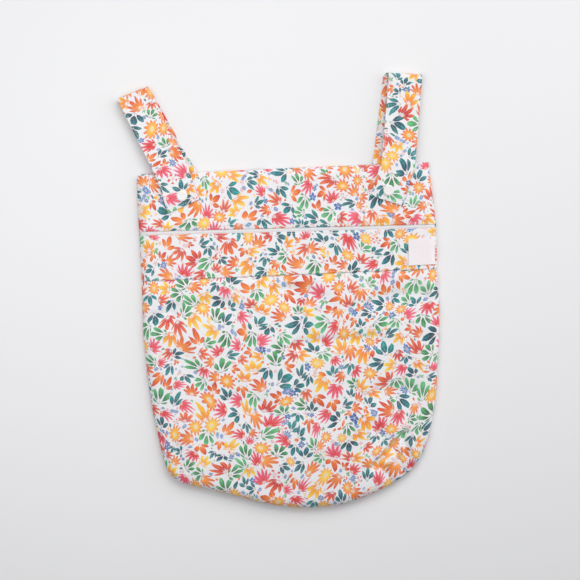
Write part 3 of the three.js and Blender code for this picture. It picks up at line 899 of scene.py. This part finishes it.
# %% Label
LABEL_SIZE = 30 * MM
LABEL_UP = 5 * MM
LABEL_REACH = 34 * MM
LABEL_WALL = 0.5 * MM
LABEL_END = 0.990
columns, rows = 40, 28
label, u, v = cut_grid("woven_label", columns, rows)
label_from = 1 - LABEL_REACH / (2 * HALF_WIDTH)
across = label_from + (LABEL_END - label_from) * (1 - (1 - u) ** 1.4)
y = LOWER_SEAM + LABEL_UP + v * LABEL_SIZE
label_depth = 0 * u - CLOTH
left = left_edge(y, label_depth)
x = left + across * (right_edge(y, label_depth) - left)
corner_curl = 0.5 * MM * (1 - u) ** 3 * (0.3 + np.abs(2 * v - 1) ** 2)
z = front_height(x, y, label_depth) + corner_curl
label_grid = lay(label, columns, rows, to_world(x, y, z))
thicken(label, LABEL_WALL)
declare(label, "label")
say(label)

# %% [markdown]
# Thread. A topstitch is a row of short, slightly sunken beads of thread a few millimetres long.
# One bead is modelled and copied along each line of stitching.

# %% Topstitching
STITCH = 2.7 * MM
STITCH_STEP = 3.5 * MM
THREAD = 0.42 * MM
STRAP_INSET = 2.4 * MM


def sew(name, line):
    """Beads of thread along a line of points, in world coordinates."""
    line = np.asarray(line)
    steps = np.linalg.norm(np.diff(line, axis=0), axis=1)
    travelled = np.concatenate([[0], np.cumsum(steps)])
    marks = np.arange(STITCH_STEP, travelled[-1] - STITCH_STEP / 2, STITCH_STEP)
    places, ahead = (
        np.stack([np.interp(marks + step, travelled, line[:, k]) for k in range(3)], axis=1)
        for step in (0, 0.5 * MM))
    turns = np.arctan2(ahead[:, 1] - places[:, 1], ahead[:, 0] - places[:, 0])
    deselect()
    bpy.ops.mesh.primitive_uv_sphere_add(segments=6, ring_count=5, radius=0.5,
                                         rotation=(0, math.radians(90), 0))
    bead = bpy.context.object
    bpy.ops.object.transform_apply(rotation=True)
    bead.scale = (STITCH, THREAD, THREAD * 0.8)
    bpy.ops.object.transform_apply(scale=True)
    piece = copies_of(name, bead, places, turns)
    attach(piece, "root")
    print(name, "has", len(marks), "stitches")
    return piece


def line_across(y_of, lift):
    across = np.linspace(0.035, 0.965, 300)
    y = y_of(across)
    x, y = upper_place(across, y, 0 * across)
    z = front_height(x, y, 0 * across)
    return np.stack(to_world(x, y, z + lift(across, x, y)), axis=1)


def flap_lift(across, x, y):
    back = y - flap_edge(across)
    return hump_at(back) + seam_waves(x, 6.1, back, 8 * MM, 0.3) * MM


def sew_strap(name, path, end, along, side):
    points = path.place(along, side, STRAP_WALL + 0 * along)
    return sew(f"thread_strap_{name}_{end}", np.stack(to_world(*points), axis=1))


threads = [
    sew("thread_flap", line_across(lambda a: flap_edge(a) + 2.2 * MM, flap_lift)),
    sew("thread_band_top", line_across(lambda a: band_top(a) - 2.0 * MM, band_ripple)),
    sew("thread_band_low", line_across(lambda a: LOWER_SEAM + 2.0 * MM + 0 * a, band_ripple)),
]
for name, path in strap_paths.items():
    inset = HALF_STRAP - STRAP_INSET
    along = np.linspace(STRAP_INSET, path.length - LANDING, 400)
    side = np.linspace(-inset, inset, 60)
    threads.append(sew_strap(name, path, "a", along, 0 * along - inset))
    threads.append(sew_strap(name, path, "b", along, 0 * along + inset))
    threads.append(sew_strap(name, path, "end", 0 * side + STRAP_INSET, side))

# %% [markdown]
# Materials. Every material is a handful of nodes on the Principled shader. What several of them
# share is a node group with named inputs: the knit's fine bump, and the print. These helpers
# keep the node code short: each makes one node, plugs in what it is given, and hands back the
# output.

# %% Node helpers
def node(tree, kind, settings=None, **inputs):
    made = tree.nodes.new(kind)
    for key, value in (settings or {}).items():
        setattr(made, key, value)
    for key, value in inputs.items():
        plug(tree, made.inputs[key.replace("_", " ")], value)
    return made


def plug(tree, socket, value):
    if isinstance(value, bpy.types.NodeSocket):
        tree.links.new(value, socket)
    else:
        socket.default_value = value


def calc(tree, operation, *values, clamp=False):
    made = tree.nodes.new("ShaderNodeMath")
    made.operation = operation
    made.use_clamp = clamp
    for socket, value in zip(made.inputs, values):
        plug(tree, socket, value)
    return made.outputs[0]


def calc_vector(tree, operation, *values):
    made = tree.nodes.new("ShaderNodeVectorMath")
    made.operation = operation
    for socket, value in zip(made.inputs, values):
        plug(tree, socket, value)
    return made.outputs["Value" if operation in ("LENGTH", "DISTANCE", "DOT_PRODUCT") else "Vector"]


def blend_colours(tree, share, first, second, blend="MIX"):
    made = tree.nodes.new("ShaderNodeMix")
    made.data_type = "RGBA"
    made.blend_type = blend
    for name, value in (("Factor", share), ("A", first), ("B", second)):
        sockets = [s for s in made.inputs if s.name == name and s.enabled]
        plug(tree, sockets[0], value)
    return next(s for s in made.outputs if s.enabled)


def ramp(tree, at, stops, interpolation="LINEAR"):
    made = tree.nodes.new("ShaderNodeValToRGB")
    made.color_ramp.interpolation = interpolation
    elements = made.color_ramp.elements
    while len(elements) < len(stops):
        elements.new(1.0)
    for element, (position, colour) in zip(elements, stops):
        element.position = position
        element.color = (*colour, 1.0)
    plug(tree, made.inputs["Fac"], at)
    return made.outputs["Color"]


def scaled(tree, vector, scale):
    return node(tree, "ShaderNodeVectorMath", {"operation": "SCALE"}, Vector=vector,
                Scale=scale).outputs[0]


def flat_noise(tree, where, output="Fac", **inputs):
    return node(tree, "ShaderNodeTexNoise", {"noise_dimensions": "2D"}, Vector=where,
                **inputs).outputs[output]


SOCKET_KINDS = {"Vector": "Vector", "Offset": "Vector", "Shift": "Vector", "Centre": "Vector",
                "Random": "Color", "Color": "Color"}


def new_group(name, inputs, outputs):
    """A node group whose sockets are plain numbers, except those that the table above names."""
    tree = bpy.data.node_groups.new(name, "ShaderNodeTree")

    def add_socket(title, way):
        kind = "NodeSocket" + SOCKET_KINDS.get(title, "Float")
        return tree.interface.new_socket(title, in_out=way, socket_type=kind)

    for title, default in inputs.items():
        socket = add_socket(title, "INPUT")
        if default is not None:
            socket.default_value = default
    for title in outputs:
        add_socket(title, "OUTPUT")
    source = tree.nodes.new("NodeGroupInput")
    sink = tree.nodes.new("NodeGroupOutput")
    return tree, source.outputs, sink.inputs


def use_group(tree, group, **inputs):
    made = tree.nodes.new("ShaderNodeGroup")
    made.node_tree = group
    for key, value in inputs.items():
        plug(tree, made.inputs[key.replace("_", " ")], value)
    return made.outputs


def hex_colour(text):
    """A colour as painters write it, turned into the linear values that nodes want."""
    parts = [int(text[i:i + 2], 16) / 255 for i in (0, 2, 4)]
    return tuple(((c + 0.055) / 1.055) ** 2.4 if c > 0.04045 else c / 12.92 for c in parts)


def opaque(text):
    return (*hex_colour(text), 1.0)


# %% [markdown]
# The print is a free scatter of watercolour leaves, flowers and berries on white. All of them
# are one idea: petals set round a point. Petals all round make a flower, a few of them in half
# a circle make a fan of leaves, and one alone is a leaf. So a single group draws petals round
# a point, and everything else is a choice of numbers.

# %% Petal group
petals, have, give = new_group(
    "petals round a point",
    dict(Vector=None, Reach=10.0, Count=5.0, Fan=4.0, Base=0.1, Width=0.3, Tip=1.0, Round=1.0,
         Taper=1.0),
    ("Mask", "Along", "Vein"))
petal = partial(calc, petals)
STALK = 0.22
plane = node(petals, "ShaderNodeSeparateXYZ", Vector=have["Vector"]).outputs
angle = petal("ARCTAN2", plane["Y"], plane["X"])
sector = petal("DIVIDE", 2 * math.pi, have["Count"])
nearest = petal("MULTIPLY", petal("ROUND", petal("DIVIDE", angle, sector)), sector)
inside_fan = petal("LESS_THAN", petal("ABSOLUTE", nearest), have["Fan"])
reach = petal("MULTIPLY", petal("COSINE", petal("MULTIPLY", nearest, have["Taper"])), have["Reach"])
turn = petal("SUBTRACT", angle, nearest)
distance = calc_vector(petals, "LENGTH", have["Vector"])
along = petal("MULTIPLY", distance, petal("COSINE", turn))
side = petal("ABSOLUTE", petal("MULTIPLY", distance, petal("SINE", turn)))
base = petal("MULTIPLY", have["Base"], reach)
share = petal("DIVIDE", petal("SUBTRACT", along, base), petal("SUBTRACT", reach, base), clamp=True)
swell = petal("SINE", petal("MULTIPLY", petal("POWER", share, have["Tip"]), math.pi))
swell = petal("POWER", petal("MAXIMUM", swell, 0.0), have["Round"])
half = petal("MULTIPLY", petal("MULTIPLY", have["Width"], reach), swell)
blade = petal("MULTIPLY_ADD", petal("SUBTRACT", half, side), 4.0, 0.4, clamp=True)
blade = petal("MULTIPLY", blade, petal("GREATER_THAN", half, 0.1))
stalk = petal("MULTIPLY", petal("LESS_THAN", side, STALK), petal("GREATER_THAN", along, 0.2))
stalk = petal("MULTIPLY", stalk, petal("LESS_THAN", along, petal("MULTIPLY", base, 1.3)))
mask = petal("MULTIPLY", petal("MAXIMUM", blade, petal("MULTIPLY", stalk, 0.8)), inside_fan)
petals.links.new(mask, give["Mask"])
petals.links.new(share, give["Along"])
rib = petal("MULTIPLY_ADD", side, -5.0, 1.5, clamp=True)
rays = petal("SINE", petal("MULTIPLY", petal("SUBTRACT", along, side), 4.2))
petals.links.new(petal("MULTIPLY_ADD", rays, 0.22, rib), give["Vein"])
print("petal group:", len(petals.nodes), "nodes")

# %% [markdown]
# The kinds of motif are rows of a table: how many petals make a full round, how far the fan
# opens, where a petal starts, how broad it is, and the two paints that run into each other in
# it. Large motifs draw from the first rows, small ones from the last.

# %% Motif table
MOTIF_ROWS = table(
    "count fan base width tip round back size inner outer",
    (9.0, 1.20, 0.22, 0.168, 0.95, 0.80, 0.80, 1.00, "033a4c", "0a8a94"),
    (15.0, 1.30, 0.18, 0.107, 0.90, 0.70, 0.80, 1.00, "fb9a34", "d8260f"),
    (11.0, 1.15, 0.22, 0.139, 0.85, 0.70, 0.85, 1.00, "f4821a", "ffd638"),
    (19.0, 1.25, 0.16, 0.084, 0.90, 0.70, 0.85, 1.00, "dd2320", "f65f86"),
    (11.0, 4.00, 0.16, 0.152, 0.95, 0.70, 0.00, 0.92, "ffd048", "ec5418"),
    (11.0, 1.20, 0.26, 0.140, 1.30, 0.62, 0.80, 1.00, "0c6636", "62c480"),
    (14.0, 1.20, 0.20, 0.110, 0.90, 0.70, 0.85, 1.00, "cc1820", "f8793a"),
    (9.0, 1.30, 0.20, 0.162, 0.90, 0.75, 0.75, 1.00, "044a60", "129a98"),
    (8.0, 1.00, 0.20, 0.195, 0.90, 0.75, 0.80, 0.90, "f98a2e", "cd2812"),
    (5.0, 4.00, 0.10, 0.325, 1.35, 0.55, 0.00, 1.15, "0a4a98", "2c80c8"),
    (8.0, 4.00, 0.14, 0.172, 1.10, 0.65, 0.00, 1.20, "0c509c", "348ad0"),
    (1.0, 0.50, 0.06, 0.260, 0.95, 0.75, 0.95, 1.00, "fb8a24", "d82a14"),
    (7.0, 1.30, 0.22, 0.184, 0.95, 0.70, 0.70, 1.00, "ffd040", "f58a1e"),
    (9.0, 1.00, 0.24, 0.162, 0.85, 0.75, 0.85, 1.00, "147c3c", "74cc88"),
    (9.0, 4.00, 0.16, 0.157, 1.05, 0.65, 0.00, 1.20, "1058a8", "4094d6"),
    (5.0, 4.00, 0.50, 0.215, 0.90, 0.50, 0.00, 1.00, "dc2c18", "ea3f26"),
    (1.0, 0.50, 0.06, 0.239, 0.95, 0.75, 0.95, 1.00, "055464", "149e8c"),
)
LARGE_KINDS = (0.0, 0.529)
MIDDLE_KINDS = (0.471, 1.0)
SMALL_KINDS = (0.589, 1.0)


def table_ramp(tree, at, column_values):
    """A table read in a shader: a band of the ramp for each row, three numbers in each band."""
    count = len(column_values)
    return ramp(tree, at, [(i / count, v) for i, v in enumerate(column_values)], "CONSTANT")


def table_numbers(tree, at, first, second, third):
    """Three columns of the motif table, each with the size it was divided by."""
    columns = (first, second, third)
    values = [tuple(row[name] / most for name, most in columns) for row in MOTIF_ROWS]
    split = node(tree, "ShaderNodeSeparateColor", Color=table_ramp(tree, at, values)).outputs
    return [calc(tree, "MULTIPLY", split[i], columns[i][1]) for i in range(3)]


# %% [markdown]
# One motif. A random number picks its row of the table, another turns it, and a third says how
# far its two paints have run into each other. A small noise makes its edges wobble as a brush
# would, and the veins show as paler strokes.

# %% Motif group
motif, have, give = new_group(
    "motif", dict(Vector=None, Radius=10.0, Random=None, Low=0.0, High=1.0), ("Color", "Mask"))
reckon = partial(calc, motif)
pick = node(motif, "ShaderNodeSeparateColor", Color=have["Random"]).outputs
kind = node(motif, "ShaderNodeMapRange", Value=pick["Red"], To_Min=have["Low"],
            To_Max=have["High"]).outputs[0]
count, fan, base = table_numbers(motif, kind, ("count", 20.0), ("fan", 4.0), ("base", 1.0))
width, tip, round_share = table_numbers(motif, kind, ("width", 1.0), ("tip", 2.0), ("round", 1.0))
back, size, _ = table_numbers(motif, kind, ("back", 1.0), ("size", 2.0), ("size", 2.0))
wobble = flat_noise(motif, have["Vector"], "Color", Scale=0.45, Detail=2.0)
wobble = calc_vector(motif, "MULTIPLY_ADD", wobble, (1.0, 1.0, 0.0), (-0.5, -0.5, 0.0))
turned = node(motif, "ShaderNodeVectorRotate", {"rotation_type": "Z_AXIS"},
              Vector=calc_vector(motif, "ADD", have["Vector"], wobble),
              Angle=reckon("MULTIPLY", pick["Green"], 2 * math.pi)).outputs[0]
set_back = reckon("MULTIPLY", back, have["Radius"])
shift = node(motif, "ShaderNodeCombineXYZ", X=set_back).outputs[0]
reach = reckon("MULTIPLY", reckon("MULTIPLY", reckon("ADD", back, 1.0), size), have["Radius"])
taper = reckon("MULTIPLY", reckon("GREATER_THAN", back, 0.1), 0.95)
drawn = use_group(motif, petals, Vector=calc_vector(motif, "ADD", turned, shift), Reach=reach,
                  Count=count, Fan=fan, Base=base, Width=width, Tip=tip, Round=round_share,
                  Taper=taper)
inner = table_ramp(motif, kind, [hex_colour(row["inner"]) for row in MOTIF_ROWS])
outer = table_ramp(motif, kind, [hex_colour(row["outer"]) for row in MOTIF_ROWS])
run = reckon("MULTIPLY_ADD", reckon("SUBTRACT", pick["Blue"], 0.5), 0.5, drawn["Along"],
             clamp=True)
paint = blend_colours(motif, run, inner, outer)
pale = blend_colours(motif, 0.55, paint, (1.0, 0.92, 0.82, 1.0))
vein = reckon("MULTIPLY", drawn["Vein"], 0.36, clamp=True)
paint = blend_colours(motif, vein, paint, pale)
motif.links.new(paint, give["Color"])
motif.links.new(drawn["Mask"], give["Mask"])
print("motif group:", len(motif.nodes), "nodes,", len(MOTIF_ROWS), "kinds of motif")

# %% [markdown]
# Where motifs go is left to a Voronoi pattern: each of its cells holds one motif, as large as
# the circle that fits between its neighbours, so that no two touch. The smaller layers fill
# what is left. Each of their motifs asks the larger pattern how far away its nearest circle
# is, and shrinks to fit that gap, or stays away if there is none.

# %% Scatter group
scatter, have, give = new_group(
    "scatter",
    dict(Vector=None, Spacing=22.0, Jitter=0.5, Swell=1.0, Offset=(0.0, 0.0, 0.0)),
    ("Centre", "Radius", "Random", "Room"))
per_cell = scaled(scatter, calc_vector(scatter, "ADD", have["Vector"], have["Offset"]),
                  calc(scatter, "DIVIDE", 1.0, have["Spacing"]))
circle, cells = (
    node(scatter, "ShaderNodeTexVoronoi", {"voronoi_dimensions": "2D", "feature": feature},
         Vector=per_cell, Scale=1.0, Randomness=have["Jitter"]).outputs
    for feature in ("N_SPHERE_RADIUS", "F1"))
radius = calc(scatter, "MULTIPLY", circle["Radius"], have["Spacing"])
radius = calc(scatter, "MULTIPLY", radius, have["Swell"])
centre = scaled(scatter, cells["Position"], have["Spacing"])
centre = calc_vector(scatter, "SUBTRACT", centre, have["Offset"])
scatter.links.new(centre, give["Centre"])
scatter.links.new(radius, give["Radius"])
scatter.links.new(cells["Color"], give["Random"])
room = calc(scatter, "SUBTRACT", calc_vector(scatter, "DISTANCE", centre, have["Vector"]), radius)
scatter.links.new(room, give["Room"])

# %% [markdown]
# The print lays three scatters over each other: large motifs, middle ones in the gaps between
# them, and small ones in what is left. It is drawn in units a little under a millimetre, on a
# plane that drifts slowly and is turned, so that no rows show. Paler blots thin the paint as
# water does.

# %% Print group
print_group, have, give = new_group(
    "scattered print", dict(Vector=None, Shift=(0.0, 0.0, 0.0)), ("Color", "Cover"))
LARGE = dict(Spacing=18.5, Jitter=0.46, Swell=1.42)
MIDDLE = dict(Spacing=9.2, Jitter=0.32, Swell=1.50, Offset=(4.6, 4.6, 0.0))
SMALL = dict(Spacing=4.8, Jitter=0.30, Swell=1.42, Offset=(1.3, 3.1, 0.0))
LEAST_MIDDLE = 1.9
LEAST_SMALL = 1.0
OVERLAP = 1.9
PRINT_UNIT = 0.86 * MM
DRIFT = (22.0, 22.0, 0.0)
DRIFT_SCALE = 0.018
PRINT_TURN = 0.47
ink = partial(calc, print_group)
ink_vector = partial(calc_vector, print_group)
ink_blend = partial(blend_colours, print_group)


def cell_at(where, scatter_layer):
    return use_group(print_group, scatter, Vector=where, **scatter_layer)


def layer(cell, radius, kinds):
    return use_group(print_group, motif, Vector=ink_vector("SUBTRACT", placed, cell["Centre"]),
                     Radius=radius, Random=cell["Random"], Low=kinds[0], High=kinds[1])


def at_least(mask, radius, least):
    return ink("MULTIPLY", mask, ink("GREATER_THAN", radius, least))


def fit(radius, room):
    return ink("MINIMUM", radius, ink("MULTIPLY", room, OVERLAP))


placed = ink_vector("ADD", scaled(print_group, have["Vector"], 1 / PRINT_UNIT), have["Shift"])
drift = flat_noise(print_group, placed, "Color", Scale=DRIFT_SCALE, Detail=1.0)
placed = node(print_group, "ShaderNodeVectorRotate", {"rotation_type": "Z_AXIS"},
              Vector=ink_vector("MULTIPLY_ADD", drift, DRIFT, placed), Angle=PRINT_TURN).outputs[0]
small_cell = cell_at(placed, SMALL)
large_there = cell_at(small_cell["Centre"], LARGE)
middle_there = cell_at(small_cell["Centre"], MIDDLE)
beyond = cell_at(middle_there["Centre"], LARGE)
middle_reach = fit(middle_there["Radius"], beyond["Room"])
middle_gap = ink("ADD", middle_there["Room"], middle_there["Radius"])
middle_gap = ink("SUBTRACT", middle_gap, middle_reach)
small_reach = fit(fit(small_cell["Radius"], large_there["Room"]), middle_gap)
small = layer(small_cell, small_reach, SMALL_KINDS)
small_mask = at_least(small["Mask"], small_reach, LEAST_SMALL)
middle_cell = cell_at(placed, MIDDLE)
around = cell_at(middle_cell["Centre"], LARGE)
middle_reach = fit(middle_cell["Radius"], around["Room"])
middle = layer(middle_cell, middle_reach, MIDDLE_KINDS)
middle_mask = at_least(middle["Mask"], middle_reach, LEAST_MIDDLE)
colour = ink_blend(middle_mask, small["Color"], middle["Color"])
cover = ink("MAXIMUM", small_mask, middle_mask)
large_cell = cell_at(placed, LARGE)
large = layer(large_cell, large_cell["Radius"], LARGE_KINDS)
colour = ink_blend(large["Mask"], colour, large["Color"])
cover = ink("MAXIMUM", cover, large["Mask"])
blot = flat_noise(print_group, placed, Scale=0.3, Detail=3.0, Roughness=0.6)
thin = ink("MULTIPLY_ADD", blot, -1.7, 0.9, clamp=True)
watered = ink_blend(0.24, colour, (1.0, 0.95, 0.9, 1.0))
print_group.links.new(ink_blend(thin, colour, watered), give["Color"])
print_group.links.new(cover, give["Cover"])
print("print group:", len(print_group.nodes), "nodes")

# %% [markdown]
# The knit. Close up, laminated knit shows fine upright ribs of tiny loops. It is far too fine
# to model, so it is bump: two crossed waves on the cloth's own flat map, so that the ribs run
# with the cloth.

# %% Knit group
knit_group, have, give = new_group("knit", dict(Vector=None, Pitch=0.9), ("Height", "Grain"))
knit = partial(calc, knit_group)
per_loop = knit("DIVIDE", 2 * math.pi / MM, have["Pitch"])
flat = node(knit_group, "ShaderNodeSeparateXYZ", Vector=have["Vector"]).outputs
ribs = knit("SINE", knit("MULTIPLY", flat["X"], per_loop))
loops = knit("SINE", knit("MULTIPLY", flat["Y"], knit("MULTIPLY", per_loop, 1.35)))
slub = flat_noise(knit_group, have["Vector"], Scale=900.0, Detail=3.0)
height = knit("MULTIPLY_ADD", knit("MULTIPLY", ribs, loops), 0.3, slub)
knit_group.links.new(height, give["Height"])
knit_group.links.new(slub, give["Grain"])


# %% [markdown]
# Each printed piece draws the print on its own flat map and with its own shift, as if cut from
# another place of the same bolt. The knit's ribs are bump, and its grain takes a little light
# off the colour.

# %% Printed cloth
def new_material(name):
    made = bpy.data.materials.new(name)
    made.use_nodes = True
    tree = made.node_tree
    return made, tree, tree.nodes["Principled BSDF"].inputs


def grained(tree, colour, grain, least, spread):
    """The colour times a grey tone, which is least where the grain is 0."""
    tone = calc(tree, "MULTIPLY_ADD", grain, spread, least)
    grey = node(tree, "ShaderNodeCombineColor", Red=tone, Green=tone, Blue=tone).outputs[0]
    return blend_colours(tree, 1.0, colour, grey, "MULTIPLY")


def finish(tree, surface, colour, roughness, height, strength, distance):
    bump = node(tree, "ShaderNodeBump", Strength=strength, Distance=distance, Height=height)
    plug(tree, surface["Base Color"], colour)
    plug(tree, surface["Roughness"], roughness)
    plug(tree, surface["Normal"], bump.outputs[0])


def cloth_map(tree):
    return node(tree, "ShaderNodeUVMap", {"uv_map": "cloth"}).outputs[0]


def printed_cloth(name, shift):
    made, tree, surface = new_material(name)
    uv = cloth_map(tree)
    pattern = use_group(tree, print_group, Vector=uv, Shift=shift)
    colour = blend_colours(tree, pattern["Cover"], opaque("eeecef"), pattern["Color"])
    weave = use_group(tree, knit_group, Vector=uv, Pitch=0.9)
    colour = grained(tree, colour, weave["Grain"], 0.94, 0.12)
    finish(tree, surface, colour, 0.62, weave["Height"], 0.35, 0.12 * MM)
    surface["Specular IOR Level"].default_value = 0.35
    surface["Sheen Weight"].default_value = 0.12
    surface["Sheen Roughness"].default_value = 0.5
    return made


def give_material(piece, made):
    piece.data.materials.clear()
    piece.data.materials.append(made)


for piece, place, shift in (
        (front_panel, "body", (31.0, 12.0, 0.0)),
        (back_panel, "back", (-310.0, 95.0, 0.0)),
        (front_band, "band", (140.0, -260.0, 0.0)),
        (top_panel, "top", (-77.0, 420.0, 0.0)),
        (straps["left"], "left strap", (510.0, 33.0, 0.0)),
        (straps["right"], "right strap", (-540.0, 208.0, 0.0))):
    give_material(piece, printed_cloth(f"printed knit {place}", shift))

# %% [markdown]
# Tape and label are plain white weave. The label is woven finer than the tape and has the soft
# sheen of satin. Coil, slider, snaps and thread are one moulded white with a faint mottle, each
# with a gloss of its own.

# %% Plain white materials
def plain_cloth(name, colour, pitch, strength, roughness):
    made, tree, surface = new_material(name)
    weave = use_group(tree, knit_group, Vector=cloth_map(tree), Pitch=pitch)
    base = grained(tree, opaque(colour), weave["Grain"], 0.9, 0.2)
    finish(tree, surface, base, roughness, weave["Height"], strength, 0.25 * MM)
    return made


def moulded(name, colour, roughness, scale):
    made, tree, surface = new_material(name)
    where = node(tree, "ShaderNodeTexCoord").outputs["Object"]
    mottle = node(tree, "ShaderNodeTexNoise", Vector=where, Scale=scale, Detail=4.0).outputs["Fac"]
    base = grained(tree, opaque(colour), mottle, 0.97, 0.06)
    rough = calc(tree, "MULTIPLY_ADD", mottle, 0.15, roughness)
    finish(tree, surface, base, rough, mottle, 0.1, 0.1 * MM)
    return made


give_material(zip_tape, plain_cloth("woven tape", "eceaec", 0.8, 0.8, 0.85))
give_material(label, plain_cloth("label ribbon", "f5edf0", 0.55, 0.3, 0.5))
nylon = moulded("white nylon", "f1f1f0", 0.35, 900.0)
give_material(zip_coil, nylon)
give_material(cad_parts["zip_slider"], nylon)
snap_plastic = moulded("white moulded plastic", "efeeec", 0.28, 700.0)
for snap in snaps.values():
    give_material(snap, snap_plastic)
thread_white = moulded("white thread", "f4f2ef", 0.6, 2500.0)
for thread in threads:
    give_material(thread, thread_white)

# %% [markdown]
# The set: a pale matt table and three large soft lights. The strongest comes from beyond the
# top of the bag, a weaker one from its right, and a small one hangs over its left half. Pale
# surroundings fill the shadows. The camera looks straight down and is rolled a little, which
# turns the bag in the picture as in the photograph.

# %% Floor, light and camera
deselect()
bpy.ops.mesh.primitive_plane_add(size=8, location=(0, 0, 0))
floor = bpy.context.object
floor.name = "pale_table"
table_top, tree, surface = new_material("pale table")
where = node(tree, "ShaderNodeTexCoord").outputs["Object"]
cloud = node(tree, "ShaderNodeTexNoise", Vector=where, Scale=3.0, Detail=3.0).outputs["Fac"]
tone = calc(tree, "MULTIPLY_ADD", cloud, 0.02, 0.86)
cool_white = node(tree, "ShaderNodeCombineColor", Red=tone,
                  Green=calc(tree, "MULTIPLY", tone, 0.998),
                  Blue=calc(tree, "MULTIPLY", tone, 1.008)).outputs[0]
plug(tree, surface["Base Color"], cool_white)
surface["Roughness"].default_value = 0.9
give_material(floor, table_top)
floor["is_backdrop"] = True


def soft_light(name, size, power, place, aim):
    light = bpy.data.lights.new(name, "AREA")
    light.size = size
    light.energy = power
    lamp = bpy.data.objects.new(name, light)
    bpy.context.collection.objects.link(lamp)
    lamp.location = place
    lamp.visible_camera = False
    lamp.rotation_euler = (Vector(aim) - Vector(place)).to_track_quat("-Z", "Y").to_euler()
    return lamp


soft_light("window", 1.4, 21.8, (0.50, 1.50, 1.60), (0.0, 0.1, 0.0))
soft_light("door", 1.2, 8.0, (1.30, 0.30, 0.80), (0.0, 0.0, 0.0))
soft_light("ceiling", 0.8, 2.9, (-0.35, 0.10, 0.75), (-0.35, 0.10, 0.0))

world = bpy.data.worlds.new("studio")
bpy.context.scene.world = world
world.use_nodes = True
surroundings = world.node_tree.nodes["Background"].inputs
surroundings["Color"].default_value = (0.97, 0.98, 1.0, 1.0)
surroundings["Strength"].default_value = 0.26
bpy.context.scene.view_settings.view_transform = "Standard"

PICTURE_WIDTH = 667 * MM
CAMERA_HEIGHT = 1.8
VIEW_X = MIDDLE_X + 2.2 * MM
VIEW_Y = 2.5 * MM
FOCUS_HEIGHT = 8 * MM
SENSOR_WIDTH = 36
ROLL = -2.455
camera_data = bpy.data.cameras.new("camera")
camera_data.sensor_width = SENSOR_WIDTH
camera_data.lens = SENSOR_WIDTH * (CAMERA_HEIGHT - FOCUS_HEIGHT) / PICTURE_WIDTH
camera = bpy.data.objects.new("camera", camera_data)
bpy.context.collection.objects.link(camera)
camera.location = (VIEW_X, VIEW_Y, CAMERA_HEIGHT)
camera.rotation_euler = (0, 0, math.radians(ROLL))
bpy.context.scene.camera = camera

# %% [markdown]
# The last cell notes the size of the frame's box and of the dressed bag, to compare them, and
# hands the scene over.

# %% Sizes and finish
dressed_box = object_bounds()
for axis, before, after in zip("XYZ", zip(*cad_box), zip(*dressed_box)):
    print(axis, [round(v / MM, 1) for v in before], "became", [round(v / MM, 1) for v in after])
